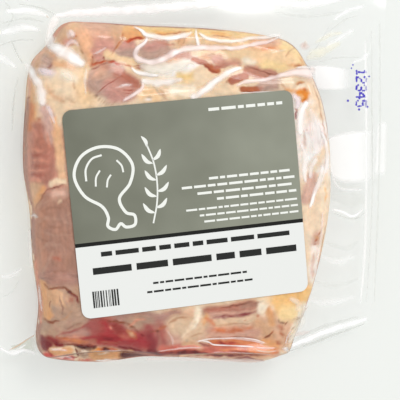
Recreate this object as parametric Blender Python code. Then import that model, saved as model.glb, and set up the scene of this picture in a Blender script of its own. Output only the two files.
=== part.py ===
# Vacuum pack of boneless, skinless chicken thighs, lying on its back.
#
# Two sheets of clear film hold several raw thighs that the vacuum has pressed
# into one block. The films meet round the block as a flat flange, wide at the
# top, narrower at the sides and folded away along the bottom. A paper label
# with round corners is stuck on the front, a little askew.
#
# Axes: +X to the pack's right, +Y to its wide end, +Z up out of the label.
# The origin is under the middle of the pack, on the surface it lies on.
# Lengths are in millimetres until a mesh is made, which is in metres.

import math

import bmesh
import bpy
import numpy as np

MM = 0.001

# Meat block
MIDDLE = (-10.0, -24.0)          # centre that the rings of the mesh grow from
SEAM_HEIGHT = 14.0               # where the two films meet at the block's side
TOP_HEIGHT = 36.2                # mean height of the bare meat
LABEL_HEIGHT = 37.4              # height of the smooth area under the label
TOP_ROUNDING = 9.5               # width of the round shoulder, label side
BOTTOM_ROUNDING = 11.0           # width of the round shoulder, underside
TOP_SQUARENESS = 2.4             # 2 is a round shoulder, more is squarer

# Outline of the block seen from above, side by side, counter-clockwise
BLOCK_RIGHT = [(45, -107), (50, -95), (56.5, -79), (61.5, -62), (66.3, -38), (68, -18), (66.8, 4), (62.5, 26)]
BLOCK_TOP = [(54, 44.5), (45, 54.5), (28, 58.4), (0, 60.9), (-30, 61.8), (-56, 63)]
BLOCK_LEFT = [(-69.5, 62), (-78.3, 51), (-86, 41), (-88.6, 20), (-89.8, -8), (-86.8, -31), (-85.6, -55), (-82.8, -78)]
BLOCK_BOTTOM = [(-84, -98), (-77, -106), (-52, -109), (-26, -107), (2, -109), (28, -112)]

# Outline of the pouch: three square sides and the fold along the bottom
POUCH_CORNERS = [(95, -95), (103.5, 113.5), (-103.5, 113.5), (-102, -102)]
POUCH_FOLD = [(-84, -105.5), (-60, -111), (0, -112), (46, -113.5)]
FLANGE_EDGE_HEIGHT = 10.0        # height of the flange's outer edge
FLANGE_WAVE = 1.6                # how far the flange waves up and down
FLANGE_WAVE_LENGTH = 74.0
FILM_HALF = 0.3                  # half the thickness of the two films together
SEAM_HALF = 1.5                  # half the gap between the films at the block
WEDGE_WIDTH = 5.0                # how soon the films close on each other

# Muscles and fat that bulge under the film:
# middle x, y, half length, half width, angle in degrees, rise
FRONT_LOBES = [
    (-80, 44, 12, 8, 45, 2.2),       # corner piece
    (-87, 24, 17, 6, 96, 1.6),       # strap on the left edge
    (-79, 0, 24, 10, 92, 2.6),       # long muscle on the left
    (-69, 30, 14, 13, 20, 2.0),      # sheet of fat
    (-54, 51, 13, 11, 80, 2.4),      # muscle at the top left
    (-49, 31, 16, 13, 50, 3.0),      # round muscle
    (-32, 50, 15, 7, 12, 1.8),       # two small muscles
    (-8, 39, 20, 9, 4, 1.8),         # pale sheet
    (2, 57, 40, 5, 0, 1.4),          # band of fat along the top
    (32, 46, 19, 10, -15, 2.4),      # large fold at the top right
    (16, 32, 22, 6, -8, 1.4),        # strips above the label
    (59, 8, 24, 10, 98, 2.2),        # strap on the right
    (61, -40, 30, 9, 80, 2.0),       # lower strap on the right
    (-76, -38, 27, 12, 88, 2.4),     # lower muscle on the left
    (-75, -75, 14, 12, 60, 2.2),     # knot at the lower left
    (-54, -92, 28, 8, 2, 2.2),       # roll along the bottom
    (-27, -94, 12, 11, 20, 1.6),     # end of the roll
    (0, -93, 20, 11, 10, 2.4),       # broad muscle at the bottom
    (24, -88, 18, 8, 10, 1.6),       # streaked strips
    (42, -87, 13, 14, 35, 2.4),      # fat at the lower right
    (16, -105, 36, 6, -3, 1.8),      # roll under the fold
]
BACK_LOBES = [
    (-52, 26, 42, 34, 20, 3.6),
    (22, 30, 40, 30, -15, 3.3),
    (-50, -50, 38, 36, 70, 3.6),
    (20, -30, 30, 34, 10, 3.0),
    (16, -84, 44, 26, 4, 3.3),
]
LOBE_FLOOR = -1.1                # deepest crease between two lobes
LOBE_SHARPNESS = 1.6             # how sharply two lobes meet
BACK_FLAT = 0.8                  # how much of the back's bulges is pressed flat

# Steps where the upper thigh ends and the one below it shows:
# middle x, y, half length, half width, angle in degrees, depth
LEDGES = [
    (-52, -107, 27, 6, 0, 11.0),
    (14, -109, 36, 5, -2, 6.0),
]

# Label
LABEL_SIZE = (116.0, 102.5)
LABEL_MIDDLE = (-10.2, -26.9)
LABEL_TURN = 5.3                 # degrees, counter-clockwise
LABEL_CORNER = 4.5
LABEL_THICKNESS = 0.4
LABEL_GAP = 0.4
LABEL_MARGIN = 3.0               # smooth film round the label
LABEL_FADE = 8.0                 # where the smooth film gives way to bare meat

# Mesh density
BLOCK_RINGS = 18
FLANGE_RINGS = 4
LABEL_CELLS = 14
OUTLINE_STEPS = 12               # points on each piece of an outline


def smooth(edge0, edge1, value):
    """0 before edge0, 1 after edge1, with a smooth step between them."""
    part = np.clip((value - edge0) / (edge1 - edge0), 0.0, 1.0)
    return part * part * (3.0 - 2.0 * part)


def curve_through(points):
    """A closed smooth curve through the points, as an array."""
    knots = np.array(points, float)
    part = np.arange(OUTLINE_STEPS)[:, None] / OUTLINE_STEPS
    pieces = []
    for index in range(len(knots)):
        before, start, end, after = (knots[(index + k) % len(knots)] for k in (-1, 0, 1, 2))
        pieces.append(0.5 * (2.0 * start + (end - before) * part
                             + (2.0 * before - 5.0 * start + 4.0 * end - after) * part ** 2
                             + (3.0 * start - before - 3.0 * end + after) * part ** 3))
    return np.vstack(pieces)


def block_sides():
    """The block's outline as four runs of points, from corner to corner."""
    sides = [BLOCK_RIGHT, BLOCK_TOP, BLOCK_LEFT, BLOCK_BOTTOM]
    curve = curve_through(sum(sides, []))
    runs = []
    first = 0
    for side in sides:
        last = first + len(side) * OUTLINE_STEPS
        runs.append(np.take(curve, range(first, last + 1), axis=0, mode="wrap"))
        first = last
    return runs


def along(run, part):
    """Points at the given parts of a run's length."""
    steps = np.hypot(*np.diff(run, axis=0).T)
    length = np.concatenate([[0.0], np.cumsum(steps)])
    place = part * length[-1]
    return np.stack([np.interp(place, length, run[:, k]) for k in (0, 1)], axis=-1)


def on_outline(u, v, runs):
    """The outline's point for each point (u, v) on the border of a square."""
    size = np.maximum(np.abs(u), np.abs(v))
    size = np.where(size == 0.0, 1.0, size)
    u, v = u / size, v / size
    choices = [u >= np.abs(v), v >= np.abs(u), -u >= np.abs(v), -v >= np.abs(u)]
    parts = [(v + 1) / 2, (1 - u) / 2, (1 - v) / 2, (u + 1) / 2]
    result = np.zeros((len(u), 2))
    done = np.zeros(len(u), bool)
    for choice, part, run in zip(choices, parts, runs):
        now = choice & ~done
        result[now] = along(run, part[now])
        done |= choice
    return result


def to_pouch_edge(points):
    """Where the ray from the middle through each point meets the pouch's outline."""
    polygon = np.array(POUCH_CORNERS + POUCH_FOLD, float) - MIDDLE
    ray = points - MIDDLE
    reach = np.full(len(points), np.inf)
    for start, end in zip(polygon, np.roll(polygon, -1, axis=0)):
        edge = end - start
        cross = ray[:, 0] * edge[1] - ray[:, 1] * edge[0]
        cross = np.where(np.abs(cross) < 1e-9, 1e-9, cross)
        far = (start[0] * edge[1] - start[1] * edge[0]) / cross
        share = (start[0] * ray[:, 1] - start[1] * ray[:, 0]) / cross
        hit = (far > 0) & (share >= -1e-6) & (share <= 1 + 1e-6)
        reach = np.where(hit, np.minimum(reach, far), reach)
    return MIDDLE + ray * reach[:, None]


def depth_inside(points, outline):
    """Distance of each point from the block's outline."""
    step = np.diff(outline, axis=0)
    step_squared = np.maximum((step ** 2).sum(axis=1), 1e-12)
    away = points[:, None, :] - outline[None, :-1, :]
    share = np.clip((away * step).sum(axis=2) / step_squared, 0.0, 1.0)
    gaps = away - share[..., None] * step
    return np.hypot(gaps[..., 0], gaps[..., 1]).min(axis=1)


def lobes(points, table):
    """Height of the bulges: the highest lobe wins, and lobes meet in creases."""
    total = np.exp(LOBE_SHARPNESS * np.full(len(points), LOBE_FLOOR))
    for x, y, half_length, half_width, angle, rise in table:
        turn = math.radians(angle)
        east, north = points[:, 0] - x, points[:, 1] - y
        length = (east * math.cos(turn) + north * math.sin(turn)) / half_length
        width = (north * math.cos(turn) - east * math.sin(turn)) / half_width
        total += np.exp(LOBE_SHARPNESS * rise * (1.0 - length ** 2 - width ** 2))
    return np.log(total) / LOBE_SHARPNESS


def ledges(points):
    """How far the steps at the block's lower edge lie below the rest."""
    total = np.zeros(len(points))
    for x, y, half_length, half_width, angle, depth in LEDGES:
        turn = math.radians(angle)
        east, north = points[:, 0] - x, points[:, 1] - y
        length = (east * math.cos(turn) + north * math.sin(turn)) / half_length
        width = (north * math.cos(turn) - east * math.sin(turn)) / half_width
        total += depth * (1.0 - smooth(0.7, 1.3, np.sqrt(length ** 2 + width ** 2)))
    return total


def in_label_frame(points):
    """Points as the label sees them, from its middle and along its sides."""
    turn = math.radians(LABEL_TURN)
    east, north = (points - LABEL_MIDDLE).T
    return (east * math.cos(turn) + north * math.sin(turn),
            north * math.cos(turn) - east * math.sin(turn))


def label_weight(points):
    """1 under the label and just round it, 0 on the bare meat."""
    along_label, up_label = in_label_frame(points)
    over_x = np.maximum(np.abs(along_label) - LABEL_SIZE[0] / 2, 0.0)
    over_y = np.maximum(np.abs(up_label) - LABEL_SIZE[1] / 2, 0.0)
    return 1.0 - smooth(LABEL_MARGIN, LABEL_FADE, np.hypot(over_x, over_y))


def under_label(points):
    """Height of the smooth area under the label: nearly flat, with slow waves."""
    x, y = points.T
    wave = 0.5 * np.sin(x / 31.0 + 0.6) * np.cos(y / 27.0) + 0.35 * np.sin((x - y) / 43.0)
    return LABEL_HEIGHT + wave


def top_of_block(points, outline):
    """Height of the label side of the block."""
    weight = label_weight(points)
    bare = TOP_HEIGHT + lobes(points, FRONT_LOBES) - ledges(points)
    full = weight * under_label(points) + (1.0 - weight) * bare
    near = 1.0 - np.clip(depth_inside(points, outline) / TOP_ROUNDING, 0.0, 1.0)
    rim = SEAM_HEIGHT + SEAM_HALF
    return rim + (full - rim) * (1.0 - near ** TOP_SQUARENESS) ** (1.0 / TOP_SQUARENESS)


def bottom_of_block(points, outline):
    """Height of the underside: pressed flat, with creases between the thighs."""
    hollow = np.maximum(BACK_FLAT - lobes(points, BACK_LOBES), 0.0)
    near = 1.0 - np.clip(depth_inside(points, outline) / BOTTOM_ROUNDING, 0.0, 1.0)
    rim = SEAM_HEIGHT - SEAM_HALF
    return hollow + (rim - hollow) * (1.0 - np.sqrt(1.0 - near ** 2))


def flange_middle(points, part):
    """Height midway between the two films of the flange."""
    x, y = points.T
    drop = (FLANGE_EDGE_HEIGHT - SEAM_HEIGHT) * smooth(0.0, 1.0, part)
    turn = 2.0 * math.pi / FLANGE_WAVE_LENGTH
    wave = FLANGE_WAVE * np.sin(turn * (x + 0.4 * y)) * np.cos(turn * (y - 0.3 * x))
    return SEAM_HEIGHT + drop + wave * part


def pouch_surfaces(u, v):
    """Place and the two heights for each point (u, v) of the square grid."""
    runs = block_sides()
    outline = np.vstack(runs)
    ring = np.maximum(np.abs(u), np.abs(v)) * (BLOCK_RINGS + FLANGE_RINGS)
    border = on_outline(u, v, runs)
    inner = 1.0 - np.clip(1.0 - ring / BLOCK_RINGS, 0.0, 1.0) ** 1.4
    part = np.clip((ring - BLOCK_RINGS) / FLANGE_RINGS, 0.0, 1.0) ** 1.5
    points = MIDDLE + (border - MIDDLE) * inner[:, None]
    reach = to_pouch_edge(border) - border
    points = points + reach * part[:, None]
    for corner in POUCH_CORNERS + POUCH_FOLD[-1:]:
        points[np.hypot(*(points - corner).T).argmin()] = corner
    outside = ring > BLOCK_RINGS + 0.01
    out = np.hypot(*(reach * part[:, None]).T)
    half = FILM_HALF + (SEAM_HALF - FILM_HALF) * np.clip(1.0 - out / WEDGE_WIDTH, 0.0, 1.0) ** 2
    middle = flange_middle(points, part)
    top = np.where(outside, middle + half, top_of_block(points, outline))
    bottom = np.where(outside, middle - half, bottom_of_block(points, outline))
    return points, top, bottom


def add_object(name, mesh, material):
    """Link a mesh to the scene under the given name, smooth and with its material."""
    item = bpy.data.objects.new(name, mesh)
    bpy.context.collection.objects.link(item)
    mesh.materials.append(material)
    mesh.shade_smooth()
    mesh.set_sharp_from_angle(angle=math.radians(50))
    return item


def make_material(name, color, roughness):
    """A plain Principled material."""
    material = bpy.data.materials.new(name)
    material.use_nodes = True
    shader = material.node_tree.nodes["Principled BSDF"]
    shader.inputs["Base Color"].default_value = (*color, 1.0)
    shader.inputs["Roughness"].default_value = roughness
    shader.inputs["Metallic"].default_value = 0.0
    return material


def closed_sheet(name, grid_cells, place, material):
    """A grid turned into a thin closed body: place gives its two surfaces."""
    body = bmesh.new()
    bmesh.ops.create_grid(body, x_segments=grid_cells, y_segments=grid_cells, size=1.0)
    bmesh.ops.triangulate(body, faces=body.faces[:], quad_method="FIXED")
    u = np.array([round(vert.co.x, 6) for vert in body.verts])
    v = np.array([round(vert.co.y, 6) for vert in body.verts])
    points, top, bottom = place(u, v)
    border = [edge for edge in body.edges if edge.is_boundary]
    upper = list(body.verts)
    copy = bmesh.ops.duplicate(body, geom=body.verts[:] + body.edges[:] + body.faces[:])
    lower = [copy["vert_map"][vert] for vert in upper]
    other_border = [copy["edge_map"][edge] for edge in border]
    bmesh.ops.reverse_faces(body, faces=[item for item in copy["geom"]
                                         if isinstance(item, bmesh.types.BMFace)])
    for index, (vert, twin) in enumerate(zip(upper, lower)):
        x, y = points[index] * MM
        vert.co = (x, y, top[index] * MM)
        twin.co = (x, y, bottom[index] * MM)
    bmesh.ops.bridge_loops(body, edges=border + other_border)
    bmesh.ops.triangulate(body, faces=body.faces[:])
    bmesh.ops.recalc_face_normals(body, faces=body.faces[:])
    mesh = bpy.data.meshes.new(name)
    body.to_mesh(mesh)
    body.free()
    return add_object(name, mesh, material)


def make_pouch():
    """The film with the thighs in it, as one solid."""
    material = make_material("film_and_meat", (0.66, 0.36, 0.26), 0.3)
    return closed_sheet("pouch", 2 * (BLOCK_RINGS + FLANGE_RINGS), pouch_surfaces, material)


def label_surfaces(u, v):
    """Place and the two heights of the label for each point of its grid."""
    half_x, half_y = LABEL_SIZE[0] / 2, LABEL_SIZE[1] / 2
    x, y = u * half_x, v * half_y
    over_x = np.maximum(np.abs(x) - (half_x - LABEL_CORNER), 0.0)
    over_y = np.maximum(np.abs(y) - (half_y - LABEL_CORNER), 0.0)
    reach = np.hypot(over_x, over_y)
    pull = np.where(reach > LABEL_CORNER, LABEL_CORNER / np.maximum(reach, 1e-9), 1.0)
    x = np.where(reach > LABEL_CORNER, np.sign(x) * (half_x - LABEL_CORNER + over_x * pull), x)
    y = np.where(reach > LABEL_CORNER, np.sign(y) * (half_y - LABEL_CORNER + over_y * pull), y)
    turn = math.radians(LABEL_TURN)
    points = np.stack([x * math.cos(turn) - y * math.sin(turn) + LABEL_MIDDLE[0],
                       x * math.sin(turn) + y * math.cos(turn) + LABEL_MIDDLE[1]], axis=-1)
    lower = top_of_block(points, np.vstack(block_sides())) + LABEL_GAP
    return points, lower + LABEL_THICKNESS, lower


def make_label():
    """The label, a thin plate that follows the film."""
    material = make_material("label_paper", (0.27, 0.29, 0.23), 0.5)
    return closed_sheet("label", LABEL_CELLS, label_surfaces, material)


def clear_scene():
    """Remove what the scene starts with."""
    for item in list(bpy.data.objects):
        bpy.data.objects.remove(item, do_unlink=True)


clear_scene()
make_pouch()
make_label()
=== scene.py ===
# %% [markdown]
# # A vacuum pack of raw chicken thighs
# Several boneless, skinless thighs lie in a pouch of clear film. The air has been
# drawn out, so the film clings to the meat and shows every bulge and crease. A
# printed paper label is stuck on the front. The lesson builds the meat, the film
# and the label in the space that the plain solids of the frame hold.

# %% Load the frame
import math

import bpy
import numpy as np
from mathutils import Matrix, Vector


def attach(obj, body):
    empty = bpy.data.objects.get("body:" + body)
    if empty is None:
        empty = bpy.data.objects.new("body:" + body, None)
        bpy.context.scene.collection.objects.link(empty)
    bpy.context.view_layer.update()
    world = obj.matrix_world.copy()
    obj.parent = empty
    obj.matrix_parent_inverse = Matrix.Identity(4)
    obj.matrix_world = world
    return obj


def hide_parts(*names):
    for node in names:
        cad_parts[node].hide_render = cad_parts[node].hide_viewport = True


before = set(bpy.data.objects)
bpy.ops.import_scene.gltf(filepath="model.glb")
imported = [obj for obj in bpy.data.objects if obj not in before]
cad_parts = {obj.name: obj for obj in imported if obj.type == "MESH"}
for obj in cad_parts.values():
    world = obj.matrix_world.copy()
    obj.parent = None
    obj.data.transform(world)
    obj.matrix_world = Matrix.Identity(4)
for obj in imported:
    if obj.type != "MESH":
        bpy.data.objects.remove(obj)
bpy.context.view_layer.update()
MM = 0.001
print("nodes:", list(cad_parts))

# %% [markdown]
# ## The camera
# The pack lies on its back, so the camera looks down on it, leaning a little to
# the left and up, as the photograph does. A long lens keeps the edges straight.
# The camera is turned by its three axes, so that the pack's +Y is up in the picture.

# %% Camera
EYE = np.array([-136.3, 18.0, 659.1])
AIM = np.array([0.6, -27.0, 15.0])
FOCAL_PIXELS = 1280.4
PICTURE_PIXELS = 400

ahead = (AIM - EYE) / np.linalg.norm(AIM - EYE)
side = np.cross(ahead, (0.0, 1.0, 0.0))
side /= np.linalg.norm(side)
over = np.cross(side, ahead)
bpy.ops.object.camera_add()
camera = bpy.context.object
camera.name = "camera"
turn = Matrix((side, over, -ahead)).transposed().to_4x4()
camera.matrix_world = Matrix.Translation(Vector(EYE * MM)) @ turn
camera.data.sensor_width = 36.0
camera.data.lens = 36.0 * FOCAL_PIXELS / PICTURE_PIXELS
camera.data.clip_start = 0.05
camera.data.clip_end = 20.0
bpy.context.scene.camera = camera
print("lens in mm:", round(camera.data.lens, 1))

# %% [markdown]
# ## Light and floor
# A studio lights food with a soft box in a white room, so shadows are faint. Here
# the box hangs behind the pack's top edge: film that tips that way mirrors it in
# white patches, and level film stays clear. The floor is a plain pale sheet. It
# glows a little by itself, which keeps the shade round the pack pale.

# %% Light
BOX_AIM = (0.24, 0.47, 0.85)
BOX_FAR = 1.5
BOX_SIZE = (0.62, 0.46)
BOX_RADIANCE = 7.5
ROOM_LIGHT = 0.93

away = Vector(BOX_AIM).normalized()
bpy.ops.object.light_add(type="AREA", location=away * BOX_FAR)
soft_box = bpy.context.object
soft_box.name = "soft_box"
soft_box.rotation_euler = away.to_track_quat("Z", "Y").to_euler()
soft_box.data.shape = "RECTANGLE"
soft_box.data.size, soft_box.data.size_y = BOX_SIZE
soft_box.data.energy = BOX_RADIANCE * math.pi * BOX_SIZE[0] * BOX_SIZE[1]

world = bpy.data.worlds.new("studio")
world.use_nodes = True
world.node_tree.nodes["Background"].inputs["Color"].default_value = (1.0, 1.0, 1.0, 1.0)
world.node_tree.nodes["Background"].inputs["Strength"].default_value = ROOM_LIGHT
bpy.context.scene.world = world
bpy.context.scene.view_settings.view_transform = "Standard"
print("soft box:", [round(value, 2) for value in soft_box.location], "m from the pack")


# %% Materials and colours
def new_material(name):
    """An empty Principled material, and its nodes and links."""
    material = bpy.data.materials.new(name)
    material.use_nodes = True
    tree = material.node_tree
    return material, tree.nodes, tree.links


def tone(red, green, blue):
    """A colour given as it looks on screen, 0 to 255, as linear light."""
    part = np.array([red, green, blue]) / 255.0
    return np.where(part > 0.04045, ((part + 0.055) / 1.055) ** 2.4, part / 12.92)


# %% Floor
FLOOR_TONE = tone(241, 244, 240)
FLOOR_LIT = 0.45
FLOOR_GLOW = 0.48
FLOOR_SIZE = 6.0

floor_material, nodes, links = new_material("pale_floor")
shader = nodes["Principled BSDF"]
shader.inputs["Base Color"].default_value = (*(FLOOR_LIT * FLOOR_TONE), 1.0)
shader.inputs["Emission Color"].default_value = (*FLOOR_TONE, 1.0)
shader.inputs["Emission Strength"].default_value = FLOOR_GLOW
shader.inputs["Roughness"].default_value = 0.9
bpy.ops.object.select_all(action="DESELECT")
bpy.ops.mesh.primitive_plane_add(size=FLOOR_SIZE)
floor = bpy.context.object
floor.name = "floor"
floor.data.materials.append(floor_material)
print("floor:", round(floor.dimensions.x, 1), "m wide")

# %% [markdown]
# ## The pack's outlines
# The same named outlines and heights as in the plain solids. The block of meat has
# a smooth outline, the pouch is cut square and its lower margin is folded away.
# A square grid is a good start for both: each of its rings is one step on the way
# from the middle of the pack to the outline.

# %% Outlines and heights
MIDDLE = np.array([-10.0, -24.0])
SEAM_HEIGHT = 14.0
TOP_HEIGHT = 36.2
LABEL_HEIGHT = 37.4
TOP_ROUNDING = 9.5
BOTTOM_ROUNDING = 11.0
TOP_SQUARENESS = 2.4

BLOCK_RIGHT = [(45, -107), (50, -95), (56.5, -79), (61.5, -62), (66.3, -38), (68, -18), (66.8, 4),
               (62.5, 26)]
BLOCK_TOP = [(54, 44.5), (45, 54.5), (28, 58.4), (0, 60.9), (-30, 61.8), (-56, 63)]
BLOCK_LEFT = [(-69.5, 62), (-78.3, 51), (-86, 41), (-88.6, 20), (-89.8, -8), (-86.8, -31), (-85.6, -55),
              (-82.8, -78)]
BLOCK_BOTTOM = [(-84, -98), (-77, -106), (-52, -109), (-26, -107), (2, -109), (28, -112)]
POUCH_CORNERS = [(95, -95), (103.5, 113.5), (-103.5, 113.5), (-102, -102)]
POUCH_FOLD = [(-84, -105.5), (-60, -111), (0, -112), (46, -113.5)]

FLANGE_EDGE_HEIGHT = 10.0
FLANGE_WAVE = 1.6
FLANGE_WAVE_LENGTH = 74.0
FILM_HALF = 0.3
OUTLINE_STEPS = 24


def smooth(edge0, edge1, value):
    """0 before edge0, 1 after edge1, with a smooth step between them."""
    part = np.clip((value - edge0) / (edge1 - edge0), 0.0, 1.0)
    return part * part * (3.0 - 2.0 * part)


def curve_through(points):
    """A closed smooth curve through the points, as an array."""
    knots = np.array(points, float)
    part = np.arange(OUTLINE_STEPS)[:, None] / OUTLINE_STEPS
    pieces = []
    for index in range(len(knots)):
        before, start, end, after = (knots[(index + k) % len(knots)] for k in (-1, 0, 1, 2))
        pieces.append(0.5 * (2.0 * start + (end - before) * part
                             + (2.0 * before - 5.0 * start + 4.0 * end - after) * part ** 2
                             + (3.0 * start - before - 3.0 * end + after) * part ** 3))
    return np.vstack(pieces)


def block_runs():
    """The block's outline as four runs of points, from corner to corner."""
    sides = [BLOCK_RIGHT, BLOCK_TOP, BLOCK_LEFT, BLOCK_BOTTOM]
    curve = curve_through(sum(sides, []))
    runs = []
    first = 0
    for corner_to_corner in sides:
        last = first + len(corner_to_corner) * OUTLINE_STEPS
        runs.append(np.take(curve, range(first, last + 1), axis=0, mode="wrap"))
        first = last
    return runs


RUNS = block_runs()
OUTLINE = np.vstack(RUNS)
print("points on the block's outline:", len(OUTLINE))


# %% From the square grid to the outlines
def along(run, part):
    """Points at the given parts of a run's length."""
    steps = np.hypot(*np.diff(run, axis=0).T)
    length = np.concatenate([[0.0], np.cumsum(steps)])
    place = part * length[-1]
    return np.stack([np.interp(place, length, run[:, k]) for k in (0, 1)], axis=-1)


def on_outline(u, v):
    """The outline's point for each point (u, v) of a square from -1 to 1."""
    size = np.maximum(np.abs(u), np.abs(v))
    size = np.where(size == 0.0, 1.0, size)
    u, v = u / size, v / size
    choices = [u >= np.abs(v), v >= np.abs(u), -u >= np.abs(v), -v >= np.abs(u)]
    parts = [(v + 1) / 2, (1 - u) / 2, (1 - v) / 2, (u + 1) / 2]
    result = np.zeros((len(u), 2))
    done = np.zeros(len(u), bool)
    for choice, part, run in zip(choices, parts, RUNS):
        now = choice & ~done
        result[now] = along(run, part[now])
        done |= choice
    return result


def to_pouch_edge(points):
    """Where the ray from the middle through each point meets the pouch's outline."""
    polygon = np.array(POUCH_CORNERS + POUCH_FOLD, float) - MIDDLE
    ray = points - MIDDLE
    reach = np.full(len(points), np.inf)
    for start, end in zip(polygon, np.roll(polygon, -1, axis=0)):
        edge = end - start
        cross = ray[:, 0] * edge[1] - ray[:, 1] * edge[0]
        cross = np.where(np.abs(cross) < 1e-9, 1e-9, cross)
        far = (start[0] * edge[1] - start[1] * edge[0]) / cross
        share = (start[0] * ray[:, 1] - start[1] * ray[:, 0]) / cross
        hit = (far > 0) & (share >= -1e-6) & (share <= 1 + 1e-6)
        reach = np.where(hit, np.minimum(reach, far), reach)
    return MIDDLE + ray * reach[:, None]


def depth_inside(points):
    """Distance of each point from the block's outline, in batches to save memory."""
    step = np.diff(OUTLINE, axis=0)
    step_squared = np.maximum((step ** 2).sum(axis=1), 1e-12)
    result = []
    for batch in np.array_split(points, max(1, len(points) // 4000)):
        away = batch[:, None, :] - OUTLINE[None, :-1, :]
        share = np.clip((away * step).sum(axis=2) / step_squared, 0.0, 1.0)
        gaps = away - share[..., None] * step
        result.append(np.hypot(gaps[..., 0], gaps[..., 1]).min(axis=1))
    return np.concatenate(result)


# %% [markdown]
# ## Bulges, ledges and the label's smooth place
# Each thigh pushes the film up in a low dome. Domes are added as the logarithm of
# a sum of powers: with a small sharpness they flow together as film does, with a
# large one they meet in creases, as meat does. Under the label all is pressed flat.

# %% Bulges of the block
FRONT_LOBES = [
    (-80, 44, 12, 8, 45, 2.2), (-87, 24, 17, 6, 96, 1.6), (-79, 0, 24, 10, 92, 2.6),
    (-69, 30, 14, 13, 20, 2.0), (-54, 51, 13, 11, 80, 2.4), (-49, 31, 16, 13, 50, 3.0),
    (-32, 50, 15, 7, 12, 1.8), (-8, 39, 20, 9, 4, 1.8), (2, 57, 40, 5, 0, 1.4),
    (32, 46, 19, 10, -15, 2.4), (16, 32, 22, 6, -8, 1.4), (59, 8, 24, 10, 98, 2.2),
    (61, -40, 30, 9, 80, 2.0), (-76, -38, 27, 12, 88, 2.4), (-75, -75, 14, 12, 60, 2.2),
    (-54, -92, 28, 8, 2, 2.2), (-27, -94, 12, 11, 20, 1.6), (0, -93, 20, 11, 10, 2.4),
    (24, -88, 18, 8, 10, 1.6), (42, -87, 13, 14, 35, 1.5), (16, -105, 36, 6, -3, 1.8),
]
BACK_LOBES = [
    (-52, 26, 42, 34, 20, 3.6), (22, 30, 40, 30, -15, 3.3), (-50, -50, 38, 36, 70, 3.6),
    (20, -30, 30, 34, 10, 3.0), (16, -84, 44, 26, 4, 3.3),
]
LEDGES = [(-52, -107, 27, 6, 0, 11.0), (14, -109, 36, 5, -2, 6.0)]
LOBE_FLOOR = -1.1
BACK_FLAT = 0.8
MEAT_SHARPNESS = 3.0
FILM_SHARPNESS = 1.3
BACK_SHARPNESS = 1.6
BACK_FILM_SHARPNESS = 1.0


def turned(points, x, y, half_length, half_width, angle):
    """Points as parts of an oval's half length and half width."""
    turn = math.radians(angle)
    east, north = points[:, 0] - x, points[:, 1] - y
    return ((east * math.cos(turn) + north * math.sin(turn)) / half_length,
            (north * math.cos(turn) - east * math.sin(turn)) / half_width)


def lobes(points, table, sharpness):
    """Height of the bulges over the block's mean height."""
    total = np.exp(sharpness * np.full(len(points), LOBE_FLOOR))
    for x, y, half_length, half_width, angle, rise in table:
        length, width = turned(points, x, y, half_length, half_width, angle)
        total += np.exp(sharpness * rise * (1.0 - length ** 2 - width ** 2))
    return np.log(total) / sharpness


def ledges(points):
    """How far the steps at the block's lower edge lie below the rest."""
    total = np.zeros(len(points))
    for x, y, half_length, half_width, angle, depth in LEDGES:
        length, width = turned(points, x, y, half_length, half_width, angle)
        total += depth * (1.0 - smooth(0.7, 1.3, np.hypot(length, width)))
    return total


# %% The label's place
LABEL_SIZE = (116.0, 102.5)
LABEL_MIDDLE = np.array([-10.2, -26.9])
LABEL_TURN = math.radians(5.3)
LABEL_CORNER = 4.5
LABEL_GAP = 0.4
LABEL_MARGIN = 3.0
LABEL_FADE = 8.0


def label_weight(points):
    """1 under the label and just round it, 0 on the bare meat."""
    east, north = (points - LABEL_MIDDLE).T
    along_label = east * math.cos(LABEL_TURN) + north * math.sin(LABEL_TURN)
    up_label = north * math.cos(LABEL_TURN) - east * math.sin(LABEL_TURN)
    over_x = np.maximum(np.abs(along_label) - LABEL_SIZE[0] / 2, 0.0)
    over_y = np.maximum(np.abs(up_label) - LABEL_SIZE[1] / 2, 0.0)
    return 1.0 - smooth(LABEL_MARGIN, LABEL_FADE, np.hypot(over_x, over_y))


def under_label(points):
    """Height of the smooth area under the label: nearly flat, with slow waves."""
    x, y = points.T
    wave = 0.5 * np.sin(x / 31.0 + 0.6) * np.cos(y / 27.0) + 0.35 * np.sin((x - y) / 43.0)
    return LABEL_HEIGHT + wave
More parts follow.
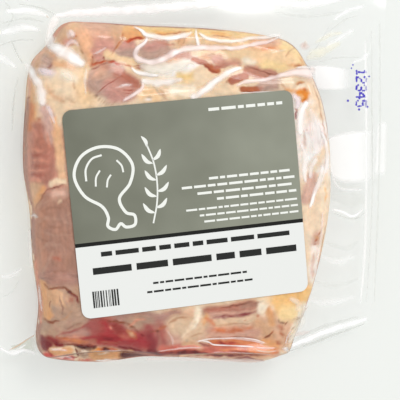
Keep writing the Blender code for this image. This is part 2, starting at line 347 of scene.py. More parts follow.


# %% [markdown]
# ## What the meat looks like
# Raw thighs are a patchwork: rose and mauve muscle, cream and yellow fat, dark
# creases with blood, made darker still by painted shade. Some white and pale
# strokes carry a painted highlight where the film mirrors the light. It is painted
# as with a brush: each stroke is a line through a few places, as they are seen from
# the camera, with a radius and a soft edge. Broad soft strokes come first, then
# strips, and last the creases, which also sink in.

# %% Colours of the meat
# Some of these colours are partly painted light. crease, dark_crease, deep_red_line and maroon are blood in
# the creases and gaps, darkened by painted shade. white, white_pink, lilac_white, pale_right and edge_pink
# are pale fat with a painted highlight where the film mirrors the light.
FLESH = {
    # name: colour on screen, how fibrous it is
    "cream_fat": ((240, 212, 180), 0.2), "warm_cream": ((244, 209, 168), 0.2),
    "peach": ((233, 187, 148), 0.4), "tan_peach": ((216, 172, 138), 0.5), "salmon": ((225, 177, 152), 0.8),
    "rose_pink": ((214, 160, 146), 0.9), "gray_mauve": ((199, 165, 149), 1.0),
    "pink_mauve": ((206, 155, 142), 1.0), "dull_red": ((187, 122, 104), 1.0), "rust": ((184, 110, 80), 0.4),
    "blood": ((198, 86, 52), 0.2), "dark_blood": ((148, 58, 38), 0.2),
    "knob_orange": ((240, 186, 128), 0.2), "white_pink": ((246, 232, 226), 0.1),
    "lilac_white": ((232, 212, 206), 0.2), "pale_cream": ((247, 230, 206), 0.1),
    "band_yellow": ((243, 206, 146), 0.2), "band_orange": ((237, 176, 112), 0.2),
    "orange_muscle": ((207, 134, 95), 0.6), "red_line": ((178, 96, 72), 0.2),
    "crease": ((140, 84, 66), 0.2), "dark_crease": ((98, 54, 46), 0.1), "tan_line": ((196, 152, 122), 0.2),
    "gray_line": ((190, 168, 150), 0.2), "pink_brown": ((206, 150, 130), 0.7),
    "orange_tan": ((224, 168, 122), 0.3), "strong_orange": ((226, 142, 62), 0.1),
    "amber": ((184, 94, 42), 0.1), "fold_salmon": ((242, 190, 154), 0.5),
    "fold_yellow": ((244, 214, 162), 0.2), "white": ((248, 243, 238), 0.1), "plum": ((146, 74, 76), 0.5),
    "rose_muscle": ((190, 122, 104), 1.0), "rose_light": ((216, 151, 128), 0.8),
    "rose_dark": ((174, 104, 90), 1.0), "gray_pink": ((178, 137, 120), 1.0),
    "side_pink": ((192, 142, 120), 0.9), "side_mauve": ((176, 122, 110), 0.6),
    "low_tan": ((202, 152, 120), 0.6), "low_gray": ((180, 146, 128), 0.9),
    "fat_orange": ((222, 166, 120), 0.2), "wine": ((130, 34, 42), 0.2), "crimson": ((152, 34, 50), 0.5),
    "crimson_pink": ((168, 72, 74), 0.7), "brown_red": ((148, 74, 70), 0.5), "maroon": ((70, 22, 20), 0.1),
    "lump_orange": ((228, 172, 126), 0.2), "lump_pink": ((234, 152, 138), 0.5),
    "lump_red": ((208, 78, 70), 0.3), "deep_plum": ((126, 46, 54), 0.4),
    "bottom_tan": ((222, 190, 160), 0.5), "bottom_red": ((206, 120, 104), 0.7),
    "bottom_orange": ((230, 152, 112), 0.5), "yellow_fat": ((238, 192, 132), 0.1),
    "right_cream": ((243, 218, 190), 0.2), "dusty_rose": ((220, 180, 162), 0.6),
    "pale_right": ((247, 234, 222), 0.1), "low_ground": ((220, 180, 153), 0.5),
    "rose_gray": ((182, 140, 126), 1.0), "tan_gray": ((190, 156, 134), 0.8),
    "muscle_rose": ((188, 130, 113), 1.0), "lilac_rose": ((206, 170, 158), 0.6),
    "crimson_soft": ((170, 98, 92), 0.7), "mauve_pink": ((213, 166, 146), 0.8),
    "salmon_orange": ((212, 128, 90), 0.5), "deep_red_line": ((112, 26, 24), 0.2),
    "light_fibre": ((190, 152, 133), 0.6), "dark_fibre": ((158, 118, 102), 0.6),
    "edge_pink": ((222, 188, 178), 0.1), "shadow_brown": ((112, 66, 56), 0.2),
}

# %% Broad soft strokes: colour, radius, softness of the edge, lift, and the places
BROAD = [
    # grounds
    ("cream_fat", 12, 4, 0, -84, 30, -60, 28), ("pink_brown", 12, 4, 0, -82, 2, -80, -14),
    ("rose_gray", 14, 4, 0, -76, -34, -74, -58), ("tan_gray", 12, 4, 0, -74, -74, -60, -86),
    ("crimson_soft", 9, 5, 0, -54, -90, -34, -93), ("low_ground", 12, 4, 0, -14, -92, 10, -92, 34, -92),
    ("pale_right", 9, 3, 0, 54, 24, 57, -10), ("right_cream", 7, 3, 0, 56, -24, 55, -66),
    # top left
    ("tan_peach", 5, 1.6, 0.3, -83, 43, -79, 46), ("gray_mauve", 3, 2.4, 0.2, -80, 43, -78, 42),
    ("cream_fat", 7, 2.5, 0.3, -76, 28, -66, 26), ("warm_cream", 4, 3, 0.1, -66, 40, -62, 30, -61, 24),
    ("tan_peach", 4.6, 1, 0.3, -71, 60, -70, 54), ("rose_pink", 1.8, 1.8, 0, -69.6, 52, -67.6, 52.6),
    ("peach", 3, 2.4, 0, -68, 61, -44, 59), ("salmon", 7.2, 2.6, 0.4, -57, 55, -50, 54),
    ("tan_peach", 2.4, 2.2, 0, -46.5, 58, -46, 52), ("rose_pink", 4.4, 2.6, 0.2, -56, 49, -50, 49.5),
    ("rose_pink", 2.4, 0.8, 0, -55, 45, -53.4, 45.4), ("fold_salmon", 2.4, 2, 0.1, -61.5, 57, -59, 51),
    ("knob_orange", 4, 1, 0.3, -39, 57, -34.6, 57.4), ("orange_tan", 2, 1.6, 0, -41, 55.4, -36, 55.4),
    ("gray_mauve", 4.2, 1, 0.3, -42, 48, -38.6, 48.2), ("pink_mauve", 2, 1.6, 0, -43, 50.6, -38, 51.4),
    ("warm_cream", 2, 1, 0.2, -50, 46.4, -45, 43.6, -38, 42.6, -30, 41.4),
    ("gray_mauve", 7.4, 1, 0.3, -53, 33.4, -48, 35.4),
    ("pink_mauve", 6.4, 1.4, 0.3, -46.6, 28.6, -40, 30.4), ("rose_pink", 3, 2.4, 0.1, -47, 29, -43, 27),
    ("dull_red", 2.4, 2.2, 0, -45, 37.4, -36, 33), ("salmon", 2, 2, 0.1, -56, 36, -52, 38.6),
    ("gray_mauve", 2.4, 2, 0, -57, 31, -55, 28.6),
    # above the label
    ("band_yellow", 2.4, 1, 0.2, -31, 58.8, -10, 58.4, 6, 57.8, 24, 56.6),
    ("gray_mauve", 4.2, 1.2, 0.3, -30, 48, -20, 49.6), ("pink_mauve", 2, 1.8, 0, -30, 50.6, -22, 52),
    ("cream_fat", 4, 2.4, 0, -15, 53, -4, 51), ("peach", 2.6, 2.2, 0, -14, 53.6, -10, 51),
    ("cream_fat", 4, 2, 0.2, -9, 49, -4, 46), ("warm_cream", 3, 1.2, 0.2, -3, 52.5, 20, 52),
    ("warm_cream", 2.8, 1.4, 0.2, -2, 47, 18, 47.5), ("fold_salmon", 2.2, 1.8, 0, -24, 42.5, -16, 45),
    ("white", 4.4, 1.4, 0.2, -27, 36, -12, 39, -8, 41), ("pale_cream", 3.4, 2, 0.2, -30, 34, -20, 32.6),
    ("cream_fat", 4, 2.2, 0.3, -20, 30, -4, 34), ("band_yellow", 2.2, 2.2, 0, -14, 35.6, -4, 37),
    ("cream_fat", 4.2, 1.6, 0.3, -3, 36, 2, 36.6), ("pale_cream", 3, 1.6, 0.2, -16, 29, -9, 29),
    ("warm_cream", 4, 1.4, 0.2, -32, 27, -27, 26.4), ("cream_fat", 4, 1.5, 0, 6, 31, 14, 29),
    ("pink_brown", 2, 1.2, 0, -16, 46.6, -10.6, 46.2), ("low_tan", 1.6, 1.2, 0, -2, 45.6, 6, 45),
    ("pink_brown", 2.2, 1, 0, 4, 44, 15, 43),
    # top right
    ("warm_cream", 6, 3, 0.2, 14, 50, 36, 48), ("fold_salmon", 4.4, 3.4, 0.4, 26, 50.6, 37, 51.6),
    ("fold_yellow", 4.6, 2.4, 0.2, 41, 51, 46, 45), ("warm_cream", 4.4, 2.4, 0.3, 22, 44.6, 42, 43.5),
    ("fold_yellow", 2.6, 2, 0, 30, 41.4, 38, 40.4), ("pink_brown", 3, 1, 0, 21, 39.4, 28, 37, 33, 36.4),
    ("gray_mauve", 2.8, 1, 0.2, 28, 31, 36, 32), ("cream_fat", 2.8, 1.4, 0.2, 39, 32, 44, 30),
    ("orange_tan", 1.4, 1.4, 0, 41, 29.5, 46, 28.6), ("right_cream", 3, 1.5, 0, 50, 33, 54.6, 27),
    ("lilac_white", 2.2, 1.6, 0, 44, 25, 46, 18),
    # right
    ("pale_right", 4.5, 2.4, 0.3, 47, 24, 48, 0, 49, -12), ("right_cream", 2.6, 2.4, 0.2, 54, 19, 55, 11),
    ("white_pink", 5, 2.8, 0.3, 55, 9, 58, 2), ("right_cream", 2, 1.4, 0, 56, 28, 59, 16),
    ("white", 3, 2.2, 0.1, 51, 5, 54, -4),
    ("right_cream", 2.2, 1.6, 0.3, 63.6, 1, 58, -6, 53.6, -13, 51, -17),
    ("dusty_rose", 3.4, 1.2, 0.2, 54.6, -15, 51.6, -25), ("right_cream", 3.6, 1.6, 0.2, 60, -16, 61, -26),
    ("right_cream", 4.6, 1.8, 0.3, 58, -31, 57, -42), ("dusty_rose", 1.8, 1.4, 0.2, 57, -44, 56, -49),
    ("pale_right", 2.4, 1.6, 0.1, 56, -52, 55.4, -68), ("pale_cream", 2, 1.4, 0, 57, -68, 54, -74),
    # bottom right
    ("yellow_fat", 6, 3, 0.4, 38, -78, 47, -76, 52, -75), ("fold_yellow", 4, 2.4, 0.05, 40, -84, 46, -84),
    ("low_ground", 4, 2.4, 0.2, 33, -89, 37, -94), ("pale_cream", 2.8, 1.8, 0.1, 27.5, -80, 31, -82.5),
    ("orange_tan", 2, 1.6, 0.2, 32, -84, 33, -89),
    ("pale_cream", 2.6, 1.4, 0.1, 50, -81, 48.6, -89, 44.6, -95),
    ("dull_red", 2, 1.6, 0.1, -2, -82.5, 10, -80.5, 24, -79),
    ("mauve_pink", 1.6, 1.2, 0.2, 2, -84, 12, -82.4, 20, -81),
    ("bottom_tan", 2, 1.2, 0.3, 4, -88.4, 12, -87, 24, -85.8),
    ("mauve_pink", 2, 1.6, 0.2, 2, -91.5, 8, -93, 26, -92.5),
    ("salmon_orange", 1.28, 1.3, 0.1, 3, -91.4, 13, -91.8, 23, -90.2),
    ("rust", 0.9, 0.9, 0.1, 9, -92.4, 18, -91.8), ("tan_peach", 2.4, 1.6, 0.2, 26, -88.5, 30, -91, 33, -94),
    ("mauve_pink", 1.2, 0.9, 0.1, 0, -94.6, 12, -94.6, 25, -95.2),
    ("salmon_orange", 2.2, 1, 0.3, 3, -98, 14, -98.4, 24, -99.4),
    ("bottom_red", 2.8, 1.6, 0.3, -14, -101, 6, -102, 22, -103),
    ("bottom_orange", 3.4, 1.8, 0.3, 24, -102, 34, -103), ("orange_tan", 2.2, 1.6, 0.1, 30, -98, 36, -99.4),
    # bottom
    ("crimson_soft", 5, 3.6, 0.4, -56, -88, -42, -90), ("rose_gray", 3, 2.4, 0.2, -44, -83, -30, -83),
    ("tan_gray", 3.6, 2, 0.2, -38, -86.4, -29, -87),
    ("crimson_pink", 2.8, 3, 0.3, -53, -93, -38, -94, -29, -97.6),
    ("crimson_pink", 1.6, 2.6, 0.1, -52, -85.6, -50, -90),
    ("brown_red", 1.8, 2.2, 0.1, -46.4, -87.6, -44, -89.4),
    ("crimson_soft", 2.6, 2, 0.2, -30, -89, -29, -91), ("plum", 2.6, 2.4, 0.2, -29.4, -94, -27.4, -99),
    ("rose_gray", 2.6, 1.8, 0.2, -27, -84, -16, -82.6), ("mauve_pink", 4.6, 2.4, 0.4, -21, -92, -16, -98),
    ("crimson_soft", 2.4, 3.4, 0.1, -24.4, -88, -23.4, -94, -22.6, -99.6),
    ("bottom_tan", 4.6, 2.2, 0.3, -16, -88, -9, -89, -4, -87),
    ("bottom_tan", 3.4, 2, 0.2, -11, -94, -5, -92),
    ("pale_cream", 1.4, 1.2, 0.1, -5, -80, -5.4, -86, -8, -89),
    ("fat_orange", 1.2, 1.2, 0, -1, -83.6, -1.4, -89),
    ("bottom_red", 2.2, 1.4, 0.3, -23, -100.4, -8, -100.2),
    ("tan_peach", 1.6, 1.2, 0.1, -12, -98, -4, -99.4),
    # lower left
    ("tan_gray", 5, 2.2, 0.3, -71, -83, -64, -80), ("tan_peach", 4.4, 2.4, 0.3, -78, -72, -74, -75),
    ("tan_gray", 3.4, 2, 0.2, -77, -79, -73, -82), ("tan_gray", 3.6, 2, 0.2, -81, -86, -77, -89),
    ("rose_gray", 2.6, 2, 0.3, -71, -90.4, -62, -90),
    ("crimson_pink", 1.2, 1.2, 0.1, -58, -94.4, -44, -96.2),
    ("rose_muscle", 1.8, 1.5, 0.2, -75, -93.4, -66, -94.6, -58, -95.6),
    ("rose_light", 1, 1.4, 0.1, -71, -91.6, -62, -92.2),
    ("crimson_pink", 0.9, 1.2, 0.1, -64, -92.6, -56, -93), ("wine", 2.8, 1.4, 0.3, -84, -92.4, -81, -96),
    ("brown_red", 2, 1.4, 0.2, -79.5, -92.4, -76.5, -94),
    ("lump_orange", 3, 1.2, 0.5, -77, -99.5, -71, -100.5), ("lump_red", 2, 1, 0.3, -81, -101, -78, -103),
    ("lump_pink", 1.8, 1, 0.3, -76, -103, -69, -103.5),
    ("tan_gray", 2.4, 1.2, 0.4, -63.6, -100, -60, -100.6),
    ("lump_orange", 3, 1.3, 0.4, -57, -101.5, -46, -102),
    ("shadow_brown", 2.2, 1.3, -0.3, -42, -102, -30, -103.5),
    # left
    ("orange_tan", 3.4, 2, 0.3, -88.4, 34, -88.4, 22, -88, 12),
    ("muscle_rose", 6, 2.6, 0.5, -83, 8, -82, 0, -82.4, -11),
    ("pink_brown", 1.8, 1.6, 0, -89, 8, -89.6, -4, -88.8, -16),
    ("lilac_rose", 3, 2, 0.2, -80.6, 19, -78.4, 12, -77.6, 6),
    ("peach", 2.3, 1.1, 0.3, -75, 8, -73.5, -4, -72.5, -14), ("peach", 1.6, 1.2, 0.1, -76, 15, -74.6, 10),
    ("tan_peach", 4, 2, 0.3, -85.4, -19, -87, -27), ("orange_tan", 1.4, 1.2, 0.1, -82, -19, -85, -25),
    ("gray_pink", 8.5, 3, 0.5, -76, -29, -75, -45, -75, -58),
    ("gray_pink", 5, 2.4, 0.4, -72, -24, -68, -40, -67, -60),
    ("side_pink", 3.4, 2.4, 0.2, -84, -32, -83.6, -46, -83.6, -58),
    ("dusty_rose", 2, 1.8, 0.1, -76, -22, -72, -21), ("rose_gray", 4, 2.4, 0.2, -80, -62, -68, -63),
    ("fat_orange", 2.6, 1.2, 0.4, -83.5, -67, -82, -73, -79.6, -81),
]

# %% Strips and stains
STRIPS = [
    # top left
    ("lilac_white", 1.8, 1.4, 0.1, -82, 38.4, -77.6, 37.6), ("pale_cream", 2.4, 2, 0.1, -72, 37, -67, 34),
    ("plum", 0.7, 0.9, 0, -78.4, 39.8, -77, 41, -75.6, 43),
    ("tan_line", 0.5, 0.6, -0.1, -85, 40.4, -80, 39.3, -76, 39.6),
    ("peach", 1.6, 1.2, 0.2, -75, 42, -67, 39.6), ("lilac_white", 1.1, 1, 0.1, -69, 57.4, -67, 54.4),
    ("fold_salmon", 1.5, 0.9, 0.4, -64.6, 56, -61.4, 50.6, -58.6, 46, -58, 42),
    ("tan_line", 0.35, 0.4, -0.2, -66.6, 55, -62.6, 49, -60.6, 45, -60.2, 42),
    ("rust", 0.6, 0.6, -0.1, -65.4, 55.8, -64.6, 54.4),
    ("warm_cream", 1.2, 0.8, 0.3, -59.8, 40, -60.8, 36, -61.4, 33),
    ("tan_line", 0.3, 0.4, -0.1, -70.5, 24.6, -66, 22.6),
    ("tan_peach", 1, 1.4, 0, -80, 31, -76.6, 26, -71, 22.5),
    ("tan_line", 0.3, 0.4, -0.1, -66.4, 34, -66, 30, -63, 26),
    ("gray_mauve", 1, 0.9, 0.1, -79, 20, -76.5, 17),
    ("orange_tan", 0.8, 0.8, -0.2, -42.6, 58.6, -43, 53, -45.6, 49),
    ("rust", 0.3, 0.4, -0.3, -42.8, 56, -43.6, 52, -46.6, 48.4, -47.8, 45.6),
    ("blood", 0.8, 0.6, -0.3, -41.6, 52.6, -36, 53.6, -31.6, 54.4),
    ("dark_blood", 0.3, 0.4, -0.3, -38, 53.4, -32.6, 54.4),
    ("blood", 0.9, 0.9, -0.5, -58, 40.8, -55, 41.6, -52, 42.6),
    ("blood", 0.6, 0.6, -0.5, -56, 41.6, -50, 42.8, -45, 41.6, -38, 40.5),
    ("dark_blood", 0.4, 0.4, -0.4, -57.2, 45.6, -57.4, 42.4, -57.8, 40),
    ("dark_blood", 0.35, 0.4, -0.3, -51.8, 45.4, -51.2, 43),
    ("dark_blood", 0.3, 0.4, -0.3, -58, 40, -55.6, 39.4, -53, 41, -50, 41.8),
    ("pink_brown", 1, 1.2, 0, -54, 40.6, -47, 39.8, -42, 38.6),
    ("dark_blood", 0.22, 0.3, -0.3, -44.6, 35.6, -47, 33.6, -49.5, 31.5, -52, 29.4, -55, 27.2),
    ("crease", 0.3, 0.4, -0.3, -57.4, 26.4, -56, 25.6, -54, 23.6, -50, 22.2, -47, 21.8),
    ("dark_crease", 0.4, 0.4, -0.3, -56.6, 26.4, -55.4, 25.4),
    ("dull_red", 0.3, 0.5, -0.2, -60.6, 34, -60.4, 30, -58.4, 27.2),
    ("lilac_white", 0.5, 0.6, 0.1, -45, 31, -38.5, 31.8),
    ("rose_dark", 0.3, 0.4, -0.2, -42, 29.2, -37.5, 29),
    ("rose_dark", 0.25, 0.4, -0.2, -41, 27.6, -37.5, 27.4),
    ("rose_pink", 0.5, 0.5, 0.1, -50, 26, -45, 24.6),
    ("dull_red", 0.4, 0.5, -0.2, -34, 35, -33, 32.6, -34, 30.4, -38, 27.4),
    # above the label
    ("band_orange", 1, 0.9, 0.1, -28, 57.2, -14, 57.4), ("band_orange", 0.9, 0.9, 0.1, 2, 56.8, 12, 56.2),
    ("red_line", 0.3, 0.5, -0.2, -26, 56.3, -16, 56.8, -8, 58.6),
    ("rust", 0.3, 0.4, -0.2, 3, 55.6, 12, 54.9), ("pink_brown", 0.6, 0.7, -0.1, -27, 52.6, -17, 51.2),
    ("tan_line", 0.4, 0.6, -0.1, -14.5, 55, -15.5, 52), ("tan_line", 0.3, 0.5, -0.1, -11.5, 55.5, -13, 52),
    ("rust", 1.4, 0.8, -0.1, -8, 44, -3, 42.6, 2, 40.4, 5, 38.6),
    ("dark_blood", 0.4, 0.6, -0.2, -6, 42.2, 0, 40.4, 4.6, 37.6),
    ("dull_red", 1.2, 0.8, -0.1, 3, 40.4, 10, 41.4), ("orange_tan", 0.9, 0.8, 0.1, -5, 44.8, 1, 45),
    ("dull_red", 0.9, 0.7, -0.1, -36, 40.4, -27, 40),
    ("crimson_pink", 0.35, 0.5, -0.2, -37.5, 41.4, -32, 41.4, -25, 40.2),
    ("gray_line", 0.5, 0.6, -0.1, -34, 37.6, -30, 35.8, -25, 35),
    ("gray_line", 0.6, 0.6, -0.2, -26.5, 30.4, -23, 26, -21, 24.4),
    ("tan_line", 0.5, 0.5, -0.2, -24.4, 30.4, -21.6, 26.6, -20, 24.2),
    ("white", 0.9, 0.8, 0.1, -32, 24.4, -28.5, 24.8), ("gray_line", 0.6, 0.7, 0, -31, 25.8, -28, 25.8),
    ("pale_cream", 1.8, 1.4, 0.1, -16, 30, -8, 29), ("tan_line", 0.4, 0.5, -0.1, -18, 33.4, -14, 34.6),
    ("crease", 0.5, 0.5, -0.1, 9.4, 33.6, 9.8, 32), ("plum", 0.7, 0.7, 0, 20, 28.8, 26, 29),
    ("crease", 0.3, 0.4, -0.3, 19.5, 41.6, 27, 38.6, 32, 37, 35.5, 37.3),
    # top right
    ("pale_cream", 0.35, 0.5, 0.1, 33, 47.4, 40, 49.2), ("salmon", 1.2, 1.6, 0.1, 26, 51.2, 36, 52.4),
    ("bottom_orange", 0.7, 0.9, 0, 28, 49.2, 34, 49.8), ("orange_tan", 0.7, 0.8, 0, 41, 42.4, 49.5, 42),
    ("rust", 0.4, 0.6, 0, 44.5, 41.6, 48, 41.8), ("orange_tan", 0.6, 0.9, 0, 47, 46, 49.4, 43),
    ("pale_cream", 1.6, 1.4, 0.1, 19, 43.8, 23, 43.2), ("tan_line", 0.35, 0.5, 0, 40, 46, 44, 50, 45, 54),
    ("rust", 2.4, 0.7, -0.2, 12.4, 34, 18.6, 36.2), ("dull_red", 1.3, 1, 0, 12.5, 33.2, 16, 34.5),
    ("rust", 1.7, 0.6, -0.2, 18.5, 29.2, 25.5, 29.4), ("low_tan", 0.8, 0.8, 0, 37.5, 33, 40, 30.5),
    ("dull_red", 0.8, 1, 0, 26, 30, 28.6, 30.6), ("crease", 0.3, 0.4, -0.2, 18, 27.9, 26, 28.2, 30, 28.8),
    ("orange_tan", 0.8, 0.6, 0, 45.5, 33, 50, 33.2), ("rust", 0.5, 0.5, 0, 46, 32.6, 48.5, 32.8),
    ("pale_cream", 0.9, 0.7, 0.1, 45.5, 31, 51, 31.4),
    ("strong_orange", 1.8, 1.3, 0.3, 47.6, 28.2, 50.6, 27.8, 49.6, 25),
    ("band_orange", 0.8, 0.8, 0.1, 46.6, 27, 49, 26.4), ("amber", 0.6, 0.7, 0, 49, 29.4, 51, 29.2),
    ("amber", 0.45, 0.5, 0, 49.6, 24.8, 49.9, 25.4),
    ("tan_line", 0.35, 0.5, 0, 54.6, 32, 57, 24.6, 59.4, 14, 60.4, 7, 63, 2),
    # right
    ("plum", 0.6, 0.6, -0.1, 46.6, 18, 45.4, 15), ("dull_red", 0.4, 0.6, -0.1, 45.6, 20, 46.8, 18),
    ("gray_mauve", 1, 1.2, 0.1, 50.3, 8, 50.4, 3, 49.4, -1), ("rust", 0.4, 0.5, 0, 49.2, 8.8, 49.8, 8.2),
    ("pink_brown", 0.4, 0.5, 0, 51.4, 9.4, 52, 8.8), ("tan_line", 0.3, 0.5, 0, 56, 12, 58.4, 7, 58, 2),
    ("knob_orange", 0.5, 0.6, 0, 60.4, -19.6, 62, -23, 61, -27),
    ("pale_cream", 0.6, 0.6, 0.1, 57.6, -18.6, 60.6, -19.6),
    ("rust", 0.25, 0.4, -0.2, 61, -40, 58.4, -43.4, 56.6, -45.6),
    ("orange_tan", 1, 0.8, 0, 56, -44.6, 57.8, -46.4), ("rust", 0.7, 0.6, 0, 56.4, -46.6, 57, -47.2),
    ("rust", 0.5, 0.5, 0, 55.4, -49.2, 56.8, -49), ("dusty_rose", 0.8, 0.9, 0, 55.2, -54, 54.8, -66),
    ("low_tan", 0.35, 0.5, 0, 62.6, -38, 59.6, -50, 57.6, -62, 56.4, -70),
    # bottom right
    ("fat_orange", 1.2, 1.2, 0.1, 31.6, -80, 31, -86),
    ("dark_crease", 0.3, 0.4, -0.1, 8, -79.8, 20, -78.6, 29, -77.4),
    ("plum", 0.9, 0.8, -0.3, 3, -85.6, 9, -84.8, 14, -84, 20, -83.6, 25, -81.8),
    ("dull_red", 0.7, 0.8, -0.1, 4, -82.4, 12, -81.2, 22, -81),
    ("salmon_orange", 1, 1.1, 0.1, -1, -85.8, 2, -87.4, 3, -89.6),
    ("gray_pink", 1.2, 1, 0, 17, -80, 26, -79), ("rust", 0.9, 0.7, 0, 25, -84.6, 26.4, -84.1),
    ("rust", 0.45, 0.5, 0, 15.5, -86.5, 15.8, -86.5), ("rust", 0.35, 0.4, 0, 18.5, -86.3, 18.8, -86.3),
    ("tan_line", 0.5, 0.6, 0, 3, -89.6, 12, -88.8, 22, -88),
    ("dull_red", 0.4, 0.5, -0.2, 1, -95.2, 12, -95.2, 20, -95.8, 27, -97),
    ("crimson_pink", 0.8, 0.8, 0.1, 5, -97.6, 14, -98.2),
    ("bottom_orange", 0.9, 0.9, 0.1, 14, -97.6, 26, -99),
    ("bottom_orange", 0.7, 0.8, 0.1, 6, -101.4, 20, -102), ("brown_red", 0.6, 0.6, 0, 6.4, -97.7, 8, -97.9),
    ("deep_red_line", 0.7, 0.6, -0.4, -8, -102.6, 5, -103.8, 14, -104.6, 26, -105),
    ("crease", 0.4, 0.5, -0.2, 12, -102.6, 20, -103.6, 30, -105),
    ("plum", 0.5, 0.5, -0.2, 14, -106, 22, -106.6, 29, -107),
    ("edge_pink", 0.8, 0.7, 0, -6, -105.8, 10, -106.9, 30, -108.3),
    ("dark_crease", 0.35, 0.4, -0.2, 36.5, -86.4, 37.5, -88, 40.5, -88.8),
    ("crease", 0.4, 0.4, -0.1, 40, -89.6, 42, -88.4), ("rust", 1.1, 1, 0, 36, -89.6, 39, -91.6),
    ("rust", 0.7, 0.7, 0, 37, -93, 39.4, -94.6),
    ("crease", 0.6, 0.5, -0.2, 30, -95.8, 32, -94.8, 33.6, -93.2),
    ("rust", 0.5, 0.6, 0, 33, -93.6, 34.6, -92.6), ("plum", 0.8, 0.9, 0, 36, -97.6, 38, -99.4),
    ("tan_line", 0.35, 0.4, -0.2, 46, -91, 43, -93.4, 41, -97, 40, -100),
    ("pale_cream", 1.1, 1, 0.1, 37.6, -102.6, 40, -105), ("fat_orange", 0.9, 0.9, 0, 31, -101, 33, -105),
    # bottom
    ("crimson", 1.29, 1.4, 0, -54.6, -93.8, -48, -93.6, -45, -94),
    ("wine", 0.6, 0.9, -0.1, -53, -93.4, -49, -93.5), ("bottom_red", 0.8, 1.6, 0.1, -44, -92.4, -40, -93.2),
    ("rose_dark", 0.7, 0.9, 0.1, -54, -95.2, -44, -95.6),
    ("rose_light", 0.5, 0.8, 0.1, -49.4, -87.6, -48.8, -89.2),
    ("lump_pink", 0.5, 0.6, 0.1, -50, -88.6, -49, -88.9),
    ("crease", 0.6, 0.6, -0.3, -50, -84.6, -41, -86, -37, -89, -35, -91.5),
    ("orange_muscle", 1.29, 1.2, 0.1, -40.4, -90, -38.2, -92, -36.6, -94),
    ("tan_peach", 0.6, 0.8, 0.1, -39.6, -90.6, -37.6, -93),
    ("low_gray", 1.4, 1.2, 0.1, -33, -85, -29, -84.6),
    ("rose_light", 0.6, 0.8, 0.1, -40, -88, -36, -85.4, -32, -84.6),
    ("wine", 0.5, 0.5, -0.2, -34, -92.6, -33, -93.4), ("plum", 0.7, 1.8, -0.3, -26, -92, -26.6, -98),
    ("deep_plum", 1.3, 1, -0.2, -29, -101, -25, -102.4),
    ("dark_crease", 0.8, 0.5, -0.3, -26.8, -90, -25, -90.9),
    ("crease", 0.3, 0.4, -0.2, -30, -91.2, -27, -90.3), ("rust", 0.6, 0.6, -0.2, -26, -89.4, -21, -87.4),
    ("tan_line", 0.5, 0.5, -0.2, -20, -86.8, -15, -85.3, -10.5, -84.2),
    ("cream_fat", 0.9, 0.8, 0.1, -11, -91, -6, -86.5), ("cream_fat", 0.6, 0.7, 0.1, -14, -94, -9, -90.6),
    ("gray_line", 0.7, 0.6, 0, -11.4, -96.2, -10.4, -96.6),
    ("tan_line", 0.35, 0.5, -0.1, -8, -94.6, -2, -92.8),
    ("brown_red", 0.35, 0.4, -0.2, -4, -97.9, 1, -99.3),
    ("bottom_red", 1, 0.9, 0.1, -22, -100.8, -6, -100.8),
    ("lump_pink", 0.7, 0.8, 0.1, -16, -99.4, -2, -99.8),
    ("deep_red_line", 1.2, 0.9, -0.4, -30, -102, -24, -101.8, -16, -102.4, -6, -102.6, 2, -103.4),
    ("edge_pink", 1, 0.8, 0, -26, -105.4, -10, -105, 0, -105.8),
    ("deep_plum", 0.8, 0.6, -0.3, -45, -97.6, -36, -99.6, -28, -102.6),
    ("blood", 0.8, 0.6, 0, -55, -99, -46, -99.4), ("strong_orange", 0.6, 0.6, 0, -56, -99.2, -54, -99.4),
    ("maroon", 0.8, 0.6, -0.2, -53, -98.8, -49.5, -99.1),
    ("pale_cream", 0.35, 0.35, 0.1, -55, -101.2, -50, -100.6),
    ("white", 0.4, 0.4, 0.1, -56, -104.3, -48, -104.6, -43, -104.3),
    ("fat_orange", 0.5, 0.5, 0, -44, -100, -38, -99.9),
    ("pale_cream", 0.3, 0.35, 0, -40, -103.8, -30, -104.4),
    # lower left
    ("cream_fat", 0.9, 0.9, 0.1, -84.6, -66, -84.4, -72), ("rust", 0.5, 0.6, 0, -83, -72, -82.8, -73),
    ("crease", 0.55, 0.5, -0.5, -83, -65.5, -79.5, -68, -74, -67.5, -70, -68.6, -67, -71, -64.3, -75),
    ("dark_crease", 0.8, 0.7, -0.3, -70.4, -69.3, -68.6, -70.2),
    ("peach", 0.8, 0.9, 0.2, -75, -70, -71, -76), ("dull_red", 1.2, 1.6, 0.1, -69, -72, -67.6, -75.6),
    ("deep_plum", 0.6, 0.8, -0.3, -69.6, -69.8, -66.6, -72, -64.6, -76),
    ("crease", 0.35, 0.4, -0.1, -78.3, -74, -78.5, -77), ("light_fibre", 0.7, 0.7, 0.1, -73, -71, -70, -77),
    ("dark_fibre", 0.4, 0.5, -0.1, -75, -72, -72, -78, -73, -81),
    ("crease", 0.5, 0.5, -0.4, -83, -82, -80, -83.6, -77, -84.8, -74, -84.3),
    ("tan_line", 0.5, 0.5, -0.2, -74, -84, -70, -82, -68, -79.6),
    ("light_fibre", 0.9, 0.9, 0.1, -72, -85.5, -65, -83.4),
    ("dark_fibre", 0.5, 0.6, -0.1, -71.5, -87.4, -64, -85),
    ("light_fibre", 0.6, 0.8, 0.1, -77, -86, -73, -91),
    ("crimson_soft", 0.6, 0.6, -0.3, -76, -91, -68, -88.6, -62, -86.6, -55, -84.8),
    ("orange_muscle", 0.9, 0.9, 0.2, -74, -92.4, -69, -94, -60, -95.4),
    ("red_line", 0.4, 0.6, -0.1, -76, -91.6, -71, -93),
    ("wine", 1.2, 0.9, -0.3, -82, -95.4, -74, -95.8, -70, -96.3),
    ("deep_red_line", 0.9, 0.6, -0.3, -72, -96.2, -64, -96.8, -56, -97.6),
    ("crimson_pink", 0.4, 0.4, 0, -85.4, -91, -85.2, -97),
